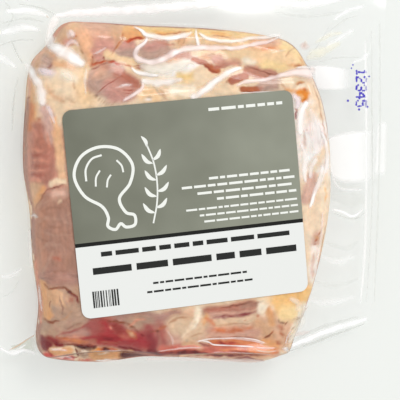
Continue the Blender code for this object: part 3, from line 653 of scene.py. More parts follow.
    ("maroon", 0.9, 0.6, -0.5, -67, -97.4, -60, -98, -56, -98.4),
    ("pale_cream", 0.5, 0.5, 0.1, -79, -97.8, -73, -97.4),
    ("crimson", 0.5, 0.5, -0.2, -77.5, -103.2, -72, -102.8, -66, -102.4),
    ("crimson", 0.5, 0.5, -0.1, -80, -98.6, -78.4, -101),
    ("white_pink", 0.4, 0.5, 0.1, -76, -101.6, -72, -102, -69, -103.2),
    ("deep_red_line", 0.6, 0.5, -0.3, -67, -98, -65.4, -102),
    ("lump_red", 0.8, 0.7, 0.1, -66, -104.2, -58, -104.2),
    ("pale_cream", 0.7, 0.8, 0.1, -63.5, -99.4, -60.5, -99.8),
    # left
    ("rust", 0.8, 0.9, 0, -84.2, 15.6, -83, 14.6), ("orange_muscle", 1.6, 1.4, 0.1, -88, 22, -88, 10),
    ("red_line", 0.4, 0.5, -0.1, -90, 30, -90.2, 22, -90, 12),
    ("lilac_white", 0.9, 0.9, 0.1, -80, 21, -77, 17), ("rose_light", 0.6, 0.8, 0.2, -88, 0.6, -82, -0.6),
    ("rose_light", 0.6, 0.8, 0.2, -88, -4, -80, -5.4), ("rose_dark", 0.5, 0.8, -0.1, -87, -2.2, -79, -3),
    ("rose_dark", 0.6, 0.8, -0.1, -87, -7.4, -79, -8.4),
    ("rose_light", 0.6, 0.8, 0.2, -88.6, -10.4, -80, -10.8),
    ("rose_light", 0.7, 0.8, 0.2, -88.6, -14, -82, -14.6),
    ("rose_dark", 0.5, 0.8, -0.1, -88, -12.4, -80, -12.8), ("rose_light", 0.7, 0.9, 0.1, -86, 10, -84.6, 5),
    ("rose_light", 0.5, 0.8, 0.1, -79.6, 8, -78.4, 0),
    ("cream_fat", 1.3, 0.9, 0.2, -78, -16.6, -75, -15.2, -71.5, -15.2),
    ("dark_crease", 0.4, 0.45, -0.4, -80, -19.5, -77, -18.8, -73, -17, -70.8, -16.2),
    ("crease", 0.3, 0.5, -0.3, -79.5, -19.2, -82, -23, -86, -29),
    ("cream_fat", 0.5, 0.7, 0, -74.4, -25.6, -73, -25),
    ("light_fibre", 0.6, 1, 0.1, -83, -27, -77, -24.6, -71, -23),
    ("dark_fibre", 0.4, 0.9, -0.1, -81, -30, -76, -27.4, -70, -28.6),
    ("light_fibre", 0.5, 1, 0.1, -86, -35.6, -80, -33, -71, -34),
    ("dark_fibre", 0.4, 0.9, -0.1, -79, -37.4, -73, -38),
    ("light_fibre", 0.5, 1, 0.1, -82, -40.4, -76, -42, -69, -41),
    ("dark_fibre", 0.4, 0.9, -0.1, -84.6, -43, -80, -45.4, -77, -49),
    ("light_fibre", 0.6, 1, 0.1, -84, -50, -79, -46, -73, -46.8),
    ("dark_fibre", 0.3, 0.8, -0.1, -72, -47, -67, -50.6),
    ("light_fibre", 0.4, 0.9, 0.1, -83, -60, -79.6, -55, -78, -51),
    ("dark_fibre", 0.4, 0.9, -0.1, -77, -60.6, -70, -58.6), ("pale_cream", 0.8, 1, 0.1, -88, -31, -86, -33),
    ("side_mauve", 0.8, 0.8, 0, -88, -36, -87, -44, -87.4, -54, -86, -60),
    ("lilac_white", 0.6, 0.6, 0, -89.4, -42, -89.2, -56),
    ("lilac_white", 0.6, 0.6, 0, -91.4, 2, -92.2, -14), ("dull_red", 1.2, 1.2, 0, -77.4, -53, -74, -54.4),
    ("fat_orange", 1, 0.9, 0.1, -85, -63.6, -82.6, -65.6),
    ("light_fibre", 0.5, 0.6, 0.1, -72, -32.6, -69, -31.4),
    ("light_fibre", 0.4, 0.6, 0.1, -72, -35, -69, -35.4),
]
print("broad strokes:", len(BROAD), "strips:", len(STRIPS))

# %% Uneven values and borders
LATTICE_SIZE = 64
LATTICE = np.random.RandomState(7).rand(LATTICE_SIZE, LATTICE_SIZE)


def noise(points, size, seed):
    """Smooth random values from -1 to 1, in bumps about size mm wide."""
    place = points / size + np.array([seed * 17.3, seed * 5.9])
    cell = np.floor(place).astype(int)
    part = place - cell
    part = part * part * (3.0 - 2.0 * part)

    def corner(east, north):
        return LATTICE[(cell[:, 0] + east) % LATTICE_SIZE, (cell[:, 1] + north) % LATTICE_SIZE]

    low = corner(0, 0) * (1 - part[:, 0]) + corner(1, 0) * part[:, 0]
    high = corner(0, 1) * (1 - part[:, 0]) + corner(1, 1) * part[:, 0]
    return 2.0 * (low * (1 - part[:, 1]) + high * part[:, 1]) - 1.0


def warped(points, far, size, seed):
    """Points pushed about, so that borders run unevenly."""
    return points + far * np.stack([noise(points, size, seed), noise(points, size, seed + 1)], axis=-1)


# %% Distances from a stroke
def from_line(points, x1, y1, x2, y2):
    """Distance from a short line, and how far along and across it each point lies."""
    length = math.hypot(x2 - x1, y2 - y1)
    step = np.array([x2 - x1, y2 - y1]) / length if length else np.array([1.0, 0.0])
    away = points - (x1, y1)
    ahead_of = away @ step
    across = away @ (-step[1], step[0])
    return np.hypot(ahead_of - np.clip(ahead_of, 0.0, length), across), ahead_of, across


def from_path(points, places):
    """Distance from a line through several places, and how far along and across it."""
    knots = np.array(places, float).reshape(-1, 2)
    best = np.full(len(points), 1e9)
    ahead = np.zeros(len(points))
    across = np.zeros(len(points))
    start = 0.0
    for (x1, y1), (x2, y2) in zip(knots[:-1], knots[1:]):
        distance, ahead_of, aside = from_line(points, x1, y1, x2, y2)
        nearer = distance < best
        best = np.where(nearer, distance, best)
        ahead = np.where(nearer, ahead_of + start, ahead)
        across = np.where(nearer, aside, across)
        start += math.hypot(x2 - x1, y2 - y1)
    return best, ahead, across


print("distance from a stroke 3 mm off:", from_path(np.array([[5.0, 3.0]]), (0, 0, 10, 0))[0])


# %% Painting by place
SEEN_LEVEL = 36.0
FILM_VEIL = 0.04
MOST_LIGHT = 0.93
THIN = 1.3


def as_seen(points, height):
    """Where the line from the eye through each point crosses the plane at SEEN_LEVEL."""
    scale = (EYE[2] - SEEN_LEVEL) / (EYE[2] - height)
    return EYE[:2] + (points - EYE[:2]) * scale[:, None]


def under_veil(color, where):
    """Colours made a little uneven, and darker by what the film's sheen adds to them."""
    warmth = noise(where, 7.0, 11) + 0.6 * noise(where, 3.1, 12)
    light = noise(where, 4.6, 13) + 0.7 * noise(where, 1.7, 14)
    color = color * (1.0 + 0.06 * light[:, None] + 0.05 * warmth[:, None] * np.array([0.2, -0.5, -1.2]))
    return np.clip(np.maximum(MOST_LIGHT * color - FILM_VEIL, 0.32 * color), 0.0, MOST_LIGHT)


def paint(seen, base, strokes):
    """Colour, fibre, grain and relief of the meat at the places seen."""
    where = warped(warped(warped(seen, 0.7, 6.0, 1), 0.4, 2.3, 3), 0.22, 0.9, 8)
    color = np.tile(tone(*FLESH[base][0]), (len(seen), 1))
    fibre = np.full(len(seen), FLESH[base][1])
    grain = np.stack([where[:, 0], where[:, 1], np.zeros(len(seen))], axis=-1)
    relief = np.zeros(len(seen))
    uneven = 0.8 + 0.35 * noise(where, 2.2, 15)
    for index, (name, radius, soft, lift, *places) in enumerate(strokes):
        low = np.min(np.reshape(places, (-1, 2)), axis=0) - radius - soft
        high = np.max(np.reshape(places, (-1, 2)), axis=0) + radius + soft
        near = np.flatnonzero(((where > low) & (where < high)).all(axis=1))
        if len(near) == 0:
            continue
        distance, ahead, across = from_path(where[near], places)
        thick = radius
        if radius < THIN:
            length = np.hypot(*np.diff(np.reshape(places, (-1, 2)), axis=0).T).sum()
            thick = radius * (1.0 - 0.75 * np.abs(2.0 * np.clip(ahead / length, 0.0, 1.0) - 1.0) ** 3)
        cover = 1.0 - smooth(thick - soft, thick + soft, distance)
        if radius < THIN:
            cover = cover * np.clip(uneven[near], 0.0, 1.0)
        color[near] += cover[:, None] * (tone(*FLESH[name][0]) - color[near])
        fibre[near] += cover * (FLESH[name][1] - fibre[near])
        dome = lift * (1.0 - (distance / (radius + soft)) ** 2)
        relief[near] += cover * (dome - 0.3 * relief[near] * (lift > 0.15))
        if radius > 1.5:
            inside = near[cover > 0.5]
            grain[inside] = np.stack([ahead, across, np.full(len(near), 7.0 * index)], axis=-1)[cover > 0.5]
    return under_veil(color, where), fibre, grain, np.clip(relief, -1.2, 0.42)


# %% [markdown]
# ## Muscles on the sides and the back
# The sides and the underside are a patchwork too, but no muscle has a set place
# there. Strokes for all of them would be long to list, so they are packed side by
# side at random: each point belongs to the muscle whose middle is nearest, borders
# wander, and a crease or a strip of fat runs along each border.

# %% Muscles side by side
SIDE_MUSCLES = 40
BACK_MUSCLES = 15
MUSCLE_COLORS = ["rose_light", "peach", "gray_pink", "salmon", "cream_fat", "side_pink", "mauve_pink",
                 "tan_peach", "rose_muscle", "warm_cream", "pink_brown", "rose_gray", "peach"]
BORDERS = [
    # what runs along a border between two muscles: colour, width, how much it covers
    # the crease lines are blood darkened by painted shade
    ("cream_fat", 3.2, 0.9), ("pale_cream", 2.0, 0.8), ("crease", 0.9, 0.8), ("tan_line", 1.2, 0.7),
    ("dull_red", 1.6, 0.6),
]
THREADS = [
    # thin lines over the muscles: colour, spacing, seed, width, how much they cover
    ("pale_cream", 9.0, 31, 0.06, 0.45), ("light_fibre", 5.0, 33, 0.1, 0.35),
]
TRIES = 60


def muscle_middles():
    """Middles of the muscles: two rows round the side, and spread over the underside."""
    random = np.random.RandomState(21)
    round_side = np.concatenate([[0.0], np.cumsum(np.hypot(*np.diff(OUTLINE, axis=0).T))])
    count = np.arange(SIDE_MUSCLES)
    far = (count + random.uniform(-0.3, 0.3, SIDE_MUSCLES)) * round_side[-1] / SIDE_MUSCLES
    sides = np.stack([np.interp(far % round_side[-1], round_side, axis) for axis in OUTLINE.T], axis=-1)
    levels = np.where(count % 2 == 0, 8.0, 25.0) + random.uniform(-4.0, 4.0, SIDE_MUSCLES)
    middles = np.column_stack([sides, levels])
    for _ in range(BACK_MUSCLES):
        tries = np.zeros((TRIES, 3))
        tries[:, :2] = MIDDLE + random.uniform(-1.0, 1.0, (TRIES, 2)) * (78.0, 86.0)
        gaps = np.linalg.norm(tries[:, None] - middles[None], axis=2).min(axis=1)
        middles = np.vstack([middles, tries[gaps.argmax()]])
    return middles, random.normal(size=middles.shape), random.randint(0, len(MUSCLE_COLORS), len(middles))


def two_nearest(pushed, middles, leans):
    """For each point its own muscle, the next one, and how much further that one is."""
    nearest = np.full(len(pushed), 1e9)
    second = np.full(len(pushed), 1e9)
    own = np.zeros(len(pushed), int)
    next_to = np.zeros(len(pushed), int)
    for index, (middle, lean) in enumerate(zip(middles, leans)):
        away = pushed - middle
        ahead = away @ lean
        distance = np.sqrt(np.maximum(1.25 * (away ** 2).sum(axis=1) - 0.7 * ahead ** 2, 0.0))
        first = distance < nearest
        between = ~first & (distance < second)
        second = np.where(first, nearest, np.where(between, distance, second))
        next_to = np.where(first, own, np.where(between, index, next_to))
        nearest = np.where(first, distance, nearest)
        own = np.where(first, index, own)
    return own, next_to, second - nearest


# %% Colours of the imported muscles
def covered(color, name, cover):
    """Colours with another one laid over them."""
    return color + cover[:, None] * (tone(*FLESH[name][0]) - color)


def packed_muscles(places):
    """Colour, fibre, grain and relief of muscles packed side by side."""
    middles, leans, kinds = muscle_middles()
    # muscles lie nearly level on the sides and level on the underside
    leans[:SIDE_MUSCLES, 2] *= 0.15
    leans[SIDE_MUSCLES:, 2] = 0.0
    leans /= np.linalg.norm(leans, axis=1)[:, None]
    flat = places[:, :2] + places[:, 2:] * (0.9, -0.7)
    pushed = places + 3.6 * np.column_stack([noise(flat, 13.0, seed) for seed in (21, 22, 23)])
    pushed += 1.1 * np.column_stack([noise(flat, 3.4, seed) for seed in (24, 25, 26)])
    own, next_to, gap = two_nearest(pushed, middles, leans)
    palette = np.array([tone(*FLESH[name][0]) for name in MUSCLE_COLORS])
    fibrous = np.array([FLESH[name][1] for name in MUSCLE_COLORS])
    soft = (0.5 - 0.5 * smooth(0.0, 3.0, gap))[:, None]
    color = palette[kinds[own]] * (1.0 - soft) + palette[kinds[next_to]] * soft
    pair = (own * next_to + own + next_to) % len(BORDERS)
    uneven = gap * (1.0 + 0.4 * noise(flat, 4.0, 27))
    for kind, (name, width, most) in enumerate(BORDERS):
        color = covered(color, name, most * (pair == kind) * (1.0 - smooth(0.3 * width, width, uneven)))
    for name, size, seed, width, most in THREADS:
        line = 1.0 - smooth(0.3 * width, width, np.abs(noise(flat, size, seed)))
        color = covered(color, name, most * line * smooth(-0.1, 0.4, noise(flat, 15.0, seed + 1)))
    color = covered(color, "brown_red", 0.5 * smooth(0.45, 0.8, noise(flat, 12.0, 37)))
    away = places - middles[own]
    ahead = (away * leans[own]).sum(axis=1)
    grain = np.column_stack([ahead, np.linalg.norm(away - ahead[:, None] * leans[own], axis=1), 7.0 * own])
    relief = -0.5 * (1.0 - smooth(0.0, 1.5, gap))
    return under_veil(color, flat), fibrous[kinds[own]], grain, relief


def seam_shade(height):
    """Painted shade by the seam, where the films pinch the meat: the share of its colour that it keeps."""
    near = 1.0 - smooth(0.5, 5.0, np.abs(height - SEAM_HEIGHT))
    return 1.0 - near[:, None] * np.array([0.2, 0.34, 0.42])


# %% [markdown]
# ## The front of the meat
# One fine grid is pulled over the block's outline, thin under the label and dense
# where the meat shows. Its height is the solid's own surface less the film, with
# the relief of the muscles added. A cap closes it at the height of the seam. The
# strokes would be drawn out into streaks where the meat is edge on to the eye, so
# there, and in a narrow band at the seam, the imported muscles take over.

# %% Sheets made from a grid
def flat_grid(name, cells):
    """A square grid from -1 to 1, with its corner coordinates."""
    bpy.ops.object.select_all(action="DESELECT")
    bpy.ops.mesh.primitive_grid_add(x_subdivisions=cells, y_subdivisions=cells, size=2.0)
    piece = bpy.context.object
    piece.name = name
    piece.data.name = name
    flat = np.zeros(len(piece.data.vertices) * 3)
    piece.data.vertices.foreach_get("co", flat)
    return piece, flat.reshape(-1, 3)[:, 0].copy(), flat.reshape(-1, 3)[:, 1].copy()


def rings(part, sparse_rings, sparse_reach):
    """Spreads the rings: few of them near the middle, most near the outline."""
    return np.where(part < sparse_rings, part / sparse_rings * sparse_reach,
                    sparse_reach + (part - sparse_rings) / (1 - sparse_rings) * (1 - sparse_reach))


def set_shape(piece, points, height):
    """Moves a piece's vertices to the points and heights, in millimetres."""
    place = np.concatenate([points, height[:, None]], axis=1) * MM
    piece.data.vertices.foreach_set("co", place.ravel())
    piece.data.update()


def add_values(piece, name, kind, values):
    """Stores a value on each vertex, for the material to read."""
    attribute = piece.data.attributes.new(name, kind, "POINT")
    key = {"FLOAT_COLOR": "color", "FLOAT_VECTOR": "vector", "FLOAT": "value"}[kind]
    attribute.data.foreach_set(key, np.asarray(values, float).ravel())


def close_border(piece):
    """Closes a sheet's open border with one flat face."""
    bpy.ops.object.mode_set(mode="EDIT")
    bpy.ops.mesh.select_all(action="DESELECT")
    bpy.ops.mesh.select_mode(type="EDGE")
    bpy.ops.mesh.select_non_manifold()
    bpy.ops.mesh.edge_face_add()
    bpy.ops.mesh.select_all(action="SELECT")
    bpy.ops.mesh.normals_make_consistent(inside=False)
    bpy.ops.object.mode_set(mode="OBJECT")


def finish_meat(piece, color, fibre, grain):
    """Keeps the painted values on a piece of meat, closes it and shades it smooth."""
    add_values(piece, "flesh", "FLOAT_COLOR", np.column_stack([color, np.ones(len(color))]))
    add_values(piece, "fibre", "FLOAT", fibre)
    add_values(piece, "grain", "FLOAT_VECTOR", grain * MM)
    close_border(piece)
    bpy.ops.object.shade_smooth()


# %% Heights of the meat
MEAT_CELLS = 300
UNDER_FILM = 0.45
SLOPE_STEP = 0.4


def shoulder(depth, width, squareness):
    """Round profile of the block's side: 0 at the outline, 1 further in than width."""
    near = 1.0 - np.clip(depth / width, 0.0, 1.0)
    return (1.0 - near ** squareness) ** (1.0 / squareness)


def meat_height(points, depth, relief):
    """Height of the meat on the label side."""
    bare = TOP_HEIGHT + lobes(points, FRONT_LOBES, MEAT_SHARPNESS) - ledges(points) + relief
    weight = label_weight(points)
    full = weight * under_label(points) + (1.0 - weight) * bare - UNDER_FILM
    return SEAM_HEIGHT + (full - SEAM_HEIGHT) * shoulder(depth, TOP_ROUNDING, TOP_SQUARENESS)


def squareness(points):
    """1 where the meat squarely faces the eye that the strokes are seen from, 0 where it is edge on."""
    level, east, north = (meat_height(points + shift, depth_inside(points + shift), 0.0)
                          for shift in ((0.0, 0.0), (SLOPE_STEP, 0.0), (0.0, SLOPE_STEP)))
    slope = np.column_stack([level - east, level - north]) / SLOPE_STEP
    normal = np.column_stack([slope, np.ones(len(points))])
    toward = EYE - np.column_stack([points, level])
    return (normal * toward).sum(axis=1) / np.linalg.norm(normal, axis=1) / np.linalg.norm(toward, axis=1)


# %% Front of the meat
thighs_front, u, v = flat_grid("thighs_front", MEAT_CELLS)
border = on_outline(u, v)
reach = rings(np.maximum(np.abs(u), np.abs(v)), 0.08, 0.5)
points = MIDDLE + (border - MIDDLE) * reach[:, None]
depth = depth_inside(points)
height = meat_height(points, depth, np.zeros(len(points)))
color, fibre, grain, relief = paint(as_seen(points, height), "cream_fat", BROAD + STRIPS)
side_color, side_fibre, side_grain = packed_muscles(np.column_stack([points, height]))[:3]
edge_on = 1.0 - smooth(0.05, 0.2, squareness(points) + 0.04 * noise(points, 5.0, 41))
packed = np.maximum(1.0 - smooth(0.5, 1.9, depth), edge_on)
# painted shade: steep walls deep inside the block, where the ledges step down, are darkened up to half
gap_shade = 1.0 - 0.5 * edge_on * smooth(3.0, 5.0, depth)
color = color * (1.0 - packed[:, None]) + side_color * packed[:, None]
# painted shade: darker by the seam, and in the steep gaps deep inside the block
color = color * seam_shade(height) * gap_shade[:, None]
fibre = fibre * (1.0 - packed) + side_fibre * packed
grain = np.where(packed[:, None] > 0.5, side_grain, grain)
height = meat_height(points, depth, relief)
set_shape(thighs_front, points, height)
finish_meat(thighs_front, color, fibre, grain)
print("front of the meat:", len(thighs_front.data.polygons), "faces")

# %% [markdown]
# ## Raw meat as a material
# Meat is wet, soft and slightly see-through, so some light goes in and comes out
# beside it. Its colour is painted on the vertices. Fine fibres run along each
# muscle: the stored grain gives their direction, so one stretched noise follows
# every muscle, lightly on fat and more on flesh.

# %% Helpers for the meat's nodes
FIBRE_SCALE = (110.0, 700.0, 480.0)
MOTTLE_SCALE = 420.0

meat_material, nodes, links = new_material("raw_meat")
shader = nodes["Principled BSDF"]


def kept_value(name):
    """A node that reads a value kept on the piece's vertices."""
    reader = nodes.new("ShaderNodeAttribute")
    reader.attribute_name = name
    return reader


def grainy(place, scale, detail):
    """A noise texture at the given place, as a value."""
    texture = nodes.new("ShaderNodeTexNoise")
    texture.inputs["Scale"].default_value = scale
    texture.inputs["Detail"].default_value = detail
    links.new(place, texture.inputs["Vector"])
    return texture.outputs["Fac"]


def swing(value, low, high):
    """Stretches a noise value from its usual 0.3 to 0.7 to low to high."""
    stretched = nodes.new("ShaderNodeMapRange")
    stretched.inputs["From Min"].default_value = 0.3
    stretched.inputs["From Max"].default_value = 0.7
    stretched.inputs["To Min"].default_value = low
    stretched.inputs["To Max"].default_value = high
    links.new(value, stretched.inputs["Value"])
    return stretched.outputs["Result"]


def multiplied(color, value, factor=None):
    """A colour darkened or lightened by a value, as strongly as the factor says."""
    product = nodes.new("ShaderNodeMix")
    product.data_type = "RGBA"
    product.blend_type = "MULTIPLY"
    factor_in, color_in, value_in = product.inputs[0], product.inputs[6], product.inputs[7]
    factor_in.default_value = 1.0
    if factor is not None:
        links.new(factor, factor_in)
    links.new(color, color_in)
    links.new(value, value_in)
    return product.outputs[2]


# %% Meat material
stretch = nodes.new("ShaderNodeMapping")
stretch.inputs["Scale"].default_value = FIBRE_SCALE
links.new(kept_value("grain").outputs["Vector"], stretch.inputs["Vector"])
fibres = grainy(stretch.outputs["Vector"], 1.0, 3.0)
mottle = grainy(nodes.new("ShaderNodeTexCoord").outputs["Object"], MOTTLE_SCALE, 4.0)
painted = kept_value("flesh").outputs["Color"]
with_fibres = multiplied(painted, swing(fibres, 0.84, 1.1), kept_value("fibre").outputs["Fac"])
links.new(multiplied(with_fibres, swing(mottle, 0.9, 1.08)), shader.inputs["Base Color"])
bump = nodes.new("ShaderNodeBump")
bump.inputs["Strength"].default_value = 0.35
bump.inputs["Distance"].default_value = 0.0003
links.new(fibres, bump.inputs["Height"])
links.new(bump.outputs["Normal"], shader.inputs["Normal"])
shader.inputs["Roughness"].default_value = 0.5
shader.inputs["Specular IOR Level"].default_value = 0.05
shader.inputs["Subsurface Weight"].default_value = 0.2
shader.inputs["Subsurface Radius"].default_value = (0.004, 0.0016, 0.001)
shader.inputs["Subsurface Scale"].default_value = 0.3
thighs_front.data.materials.append(meat_material)
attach(thighs_front, "root")
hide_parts("pouch")
print("meat nodes:", len(nodes))

# %% [markdown]
# ## The underside of the meat
# The back lies on the floor and is pressed nearly flat, with shallow creases
# between the thighs. It could be one mesh with the front, but it needs less detail,
# so it is a coarser grid that meets the front at the height of the seam.

# %% Underside of the meat
BACK_CELLS = 200


def back_height(points, depth, relief):
    """Height of the meat on the underside, resting just inside the film."""
    hollow = np.maximum(BACK_FLAT - lobes(points, BACK_LOBES, BACK_SHARPNESS) - relief, 0.0)
    lowest = hollow + UNDER_FILM
    return SEAM_HEIGHT + (lowest - SEAM_HEIGHT) * shoulder(depth, BOTTOM_ROUNDING, 2.0)


thighs_back, u, v = flat_grid("thighs_back", BACK_CELLS)
border = on_outline(u, v)
reach = 1.0 - (1.0 - np.maximum(np.abs(u), np.abs(v))) ** 1.35
points = MIDDLE + (border - MIDDLE) * reach[:, None]
depth = depth_inside(points)
height = back_height(points, depth, np.zeros(len(points)))
color, fibre, grain, relief = packed_muscles(np.column_stack([points, height]))
set_shape(thighs_back, points, back_height(points, depth, relief))
# painted shade by the seam on the underside too
finish_meat(thighs_back, color * seam_shade(height), fibre, grain)
thighs_back.data.materials.append(meat_material)
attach(thighs_back, "root")
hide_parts("pouch")
print("underside of the meat:", len(thighs_back.data.polygons), "faces")

# %% [markdown]
# ## The film
# Under vacuum the film is drawn tight: it touches the meat on its bulges, bridges
# the creases and wrinkles where it has nowhere to go. Past the meat the two films
# lie on each other as a flange. Cloth simulation could draw the film tight, but not
# to set places, so its height is worked out point by point. Each film is one sheet
# from the middle of the pack to its edge, so the light runs over it without a break.

# %% Places of the film
FILM_CELLS = 300
BACK_FILM_CELLS = 150
BLOCK_SHARE = 0.68
FILM_GAP = 0.12
FILM_OUTSIDE = 0.3
FILLET = 1.3


def flange_middle(points, part):
    """Height midway between the two films of the flange."""
    x, y = points.T
    drop = (FLANGE_EDGE_HEIGHT - SEAM_HEIGHT) * smooth(0.0, 1.0, part)
    turn = 2.0 * math.pi / FLANGE_WAVE_LENGTH
    wave = FLANGE_WAVE * np.sin(turn * (x + 0.4 * y)) * np.cos(turn * (y - 0.3 * x))
    return SEAM_HEIGHT + drop + wave * part


def pouch_place(u, v):
    """Place of each point of the film's grid: BLOCK_SHARE of its rings lie over the block."""
    ring = np.maximum(np.abs(u), np.abs(v))
    border = on_outline(u, v)
    inner = rings(np.clip(ring / BLOCK_SHARE, 0.0, 1.0), 0.1, 0.5)
    out = np.clip((ring - BLOCK_SHARE) / (1.0 - BLOCK_SHARE), 0.0, 1.0) ** 1.4
    points = MIDDLE + (border - MIDDLE) * inner[:, None]
    points = points + (to_pouch_edge(border) - border) * out[:, None]
    for corner in POUCH_CORNERS + POUCH_FOLD[-1:]:
        points[np.hypot(*(points - corner).T).argmin()] = corner
    return points


def past_block(points):
    """How far each point lies past the block's outline, in mm and as a part."""
    ray = points - MIDDLE
    knots = OUTLINE - MIDDLE
    angle = np.arctan2(knots[:, 1], knots[:, 0])
    order = np.argsort(angle)
    edge = np.interp(np.arctan2(ray[:, 1], ray[:, 0]), angle[order], np.hypot(*knots[order].T),
                     period=2 * math.pi)
    pouch = np.hypot(*(to_pouch_edge(points + 1e-6) - MIDDLE).T)
    far = np.hypot(*ray.T) - edge
    return np.maximum(far, 0.0), np.clip(far / (pouch - edge), 0.0, 1.0)


def film_levels(points):
    """How deep inside the block, how far past it and how high midway each point is."""
    far, part = past_block(points)
    depth = np.where(far <= 0.0, depth_inside(points), 0.0)
    return depth, far, flange_middle(points, part)


# %% Front film
def film_height(points):
    """Height of the front film: over the meat, the label's place and the flange."""
    depth, far, middle = film_levels(points)
    bare = TOP_HEIGHT + lobes(points, FRONT_LOBES, FILM_SHARPNESS) - ledges(points)
    weight = label_weight(points)
    full = weight * under_label(points) + (1.0 - weight) * bare + FILM_GAP
    rise = shoulder(depth + FILM_OUTSIDE, TOP_ROUNDING, TOP_SQUARENESS)
    top = SEAM_HEIGHT + (full - SEAM_HEIGHT) * rise
    fall = np.clip(1.0 - far / FILLET, 0.0, 1.0) ** 2
    return np.where(far <= 0.0, top, middle + FILM_HALF + (top - middle - FILM_HALF) * fall)


film_front, u, v = flat_grid("film_front", FILM_CELLS)
points = pouch_place(u, v)
height = film_height(points)
set_shape(film_front, points, height)
bpy.ops.object.shade_smooth()
print("front film:", len(film_front.data.polygons), "faces, highest", round(height.max(), 1), "mm")

# %% [markdown]
# ## Clear film as a material
# A film this thin bends no light, so it is clear with a faint gloss on top. Glass
# would be the usual shader, but it bends light and casts a shadow. The gloss grows
# where the film is seen at a slant, up to a small limit, and only the eye sees it:
# light on its way to the meat passes as if the film were not there.

# %% Film material
MOST_GLOSS = 0.07
FILM_ROUGHNESS = 0.14
FILM_IOR = 1.4

film_material, nodes, links = new_material("clear_film")
nodes.remove(nodes["Principled BSDF"])
clear = nodes.new("ShaderNodeBsdfTransparent")
clear.inputs["Color"].default_value = (1.0, 1.0, 1.0, 1.0)
gloss = nodes.new("ShaderNodeBsdfGlossy")
gloss.inputs["Roughness"].default_value = FILM_ROUGHNESS
gloss.inputs["Color"].default_value = (1.0, 1.0, 1.0, 1.0)
fresnel = nodes.new("ShaderNodeFresnel")
fresnel.inputs["IOR"].default_value = FILM_IOR
limited = nodes.new("ShaderNodeMath")
limited.operation = "MINIMUM"
limited.inputs[1].default_value = MOST_GLOSS
links.new(fresnel.outputs["Fac"], limited.inputs[0])
only_seen = nodes.new("ShaderNodeMath")
only_seen.operation = "MULTIPLY"
links.new(limited.outputs["Value"], only_seen.inputs[0])
links.new(nodes.new("ShaderNodeLightPath").outputs["Is Camera Ray"], only_seen.inputs[1])
mixed = nodes.new("ShaderNodeMixShader")
links.new(only_seen.outputs["Value"], mixed.inputs["Fac"])
links.new(clear.outputs["BSDF"], mixed.inputs[1])
links.new(gloss.outputs["BSDF"], mixed.inputs[2])
links.new(mixed.outputs["Shader"], nodes["Material Output"].inputs["Surface"])


def place_film(piece):
    """Gives a sheet of film its material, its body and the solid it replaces."""
    piece.data.materials.append(film_material)
    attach(piece, "root")
    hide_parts("pouch")


place_film(film_front)
print("film nodes:", len(nodes))

# %% [markdown]
# ## Folds of the film, with painted sheen
# Where the film bridges a crease between two muscles it stands off the meat, and
# the air under it makes it milky. These bands are soft pale ribbons, wide where
# the hollow is wide. Their white is also a painted highlight: the soft box that
# the film mirrors is painted into their colour. A few gray strips beside them are
# painted shade. Painted into the film's material they would be flat, so each is a
# strip along a curve, laid on the film and slightly domed, that fades out at its
# sides.

# %% Folds over the creases
SHEEN = {
    # painted sheen and shade of the film, and juice in it: colour on screen
    "white": (254, 250, 247), "pink": (250, 233, 228), "lilac": (240, 226, 228), "cream": (247, 238, 222),
    "gray": (196, 200, 192), "bright": (255, 255, 255), "tan": (214, 186, 160), "juice": (226, 176, 160),
    "shade": (168, 152, 140), "straw": (238, 234, 206), "moss": (203, 208, 192),
}
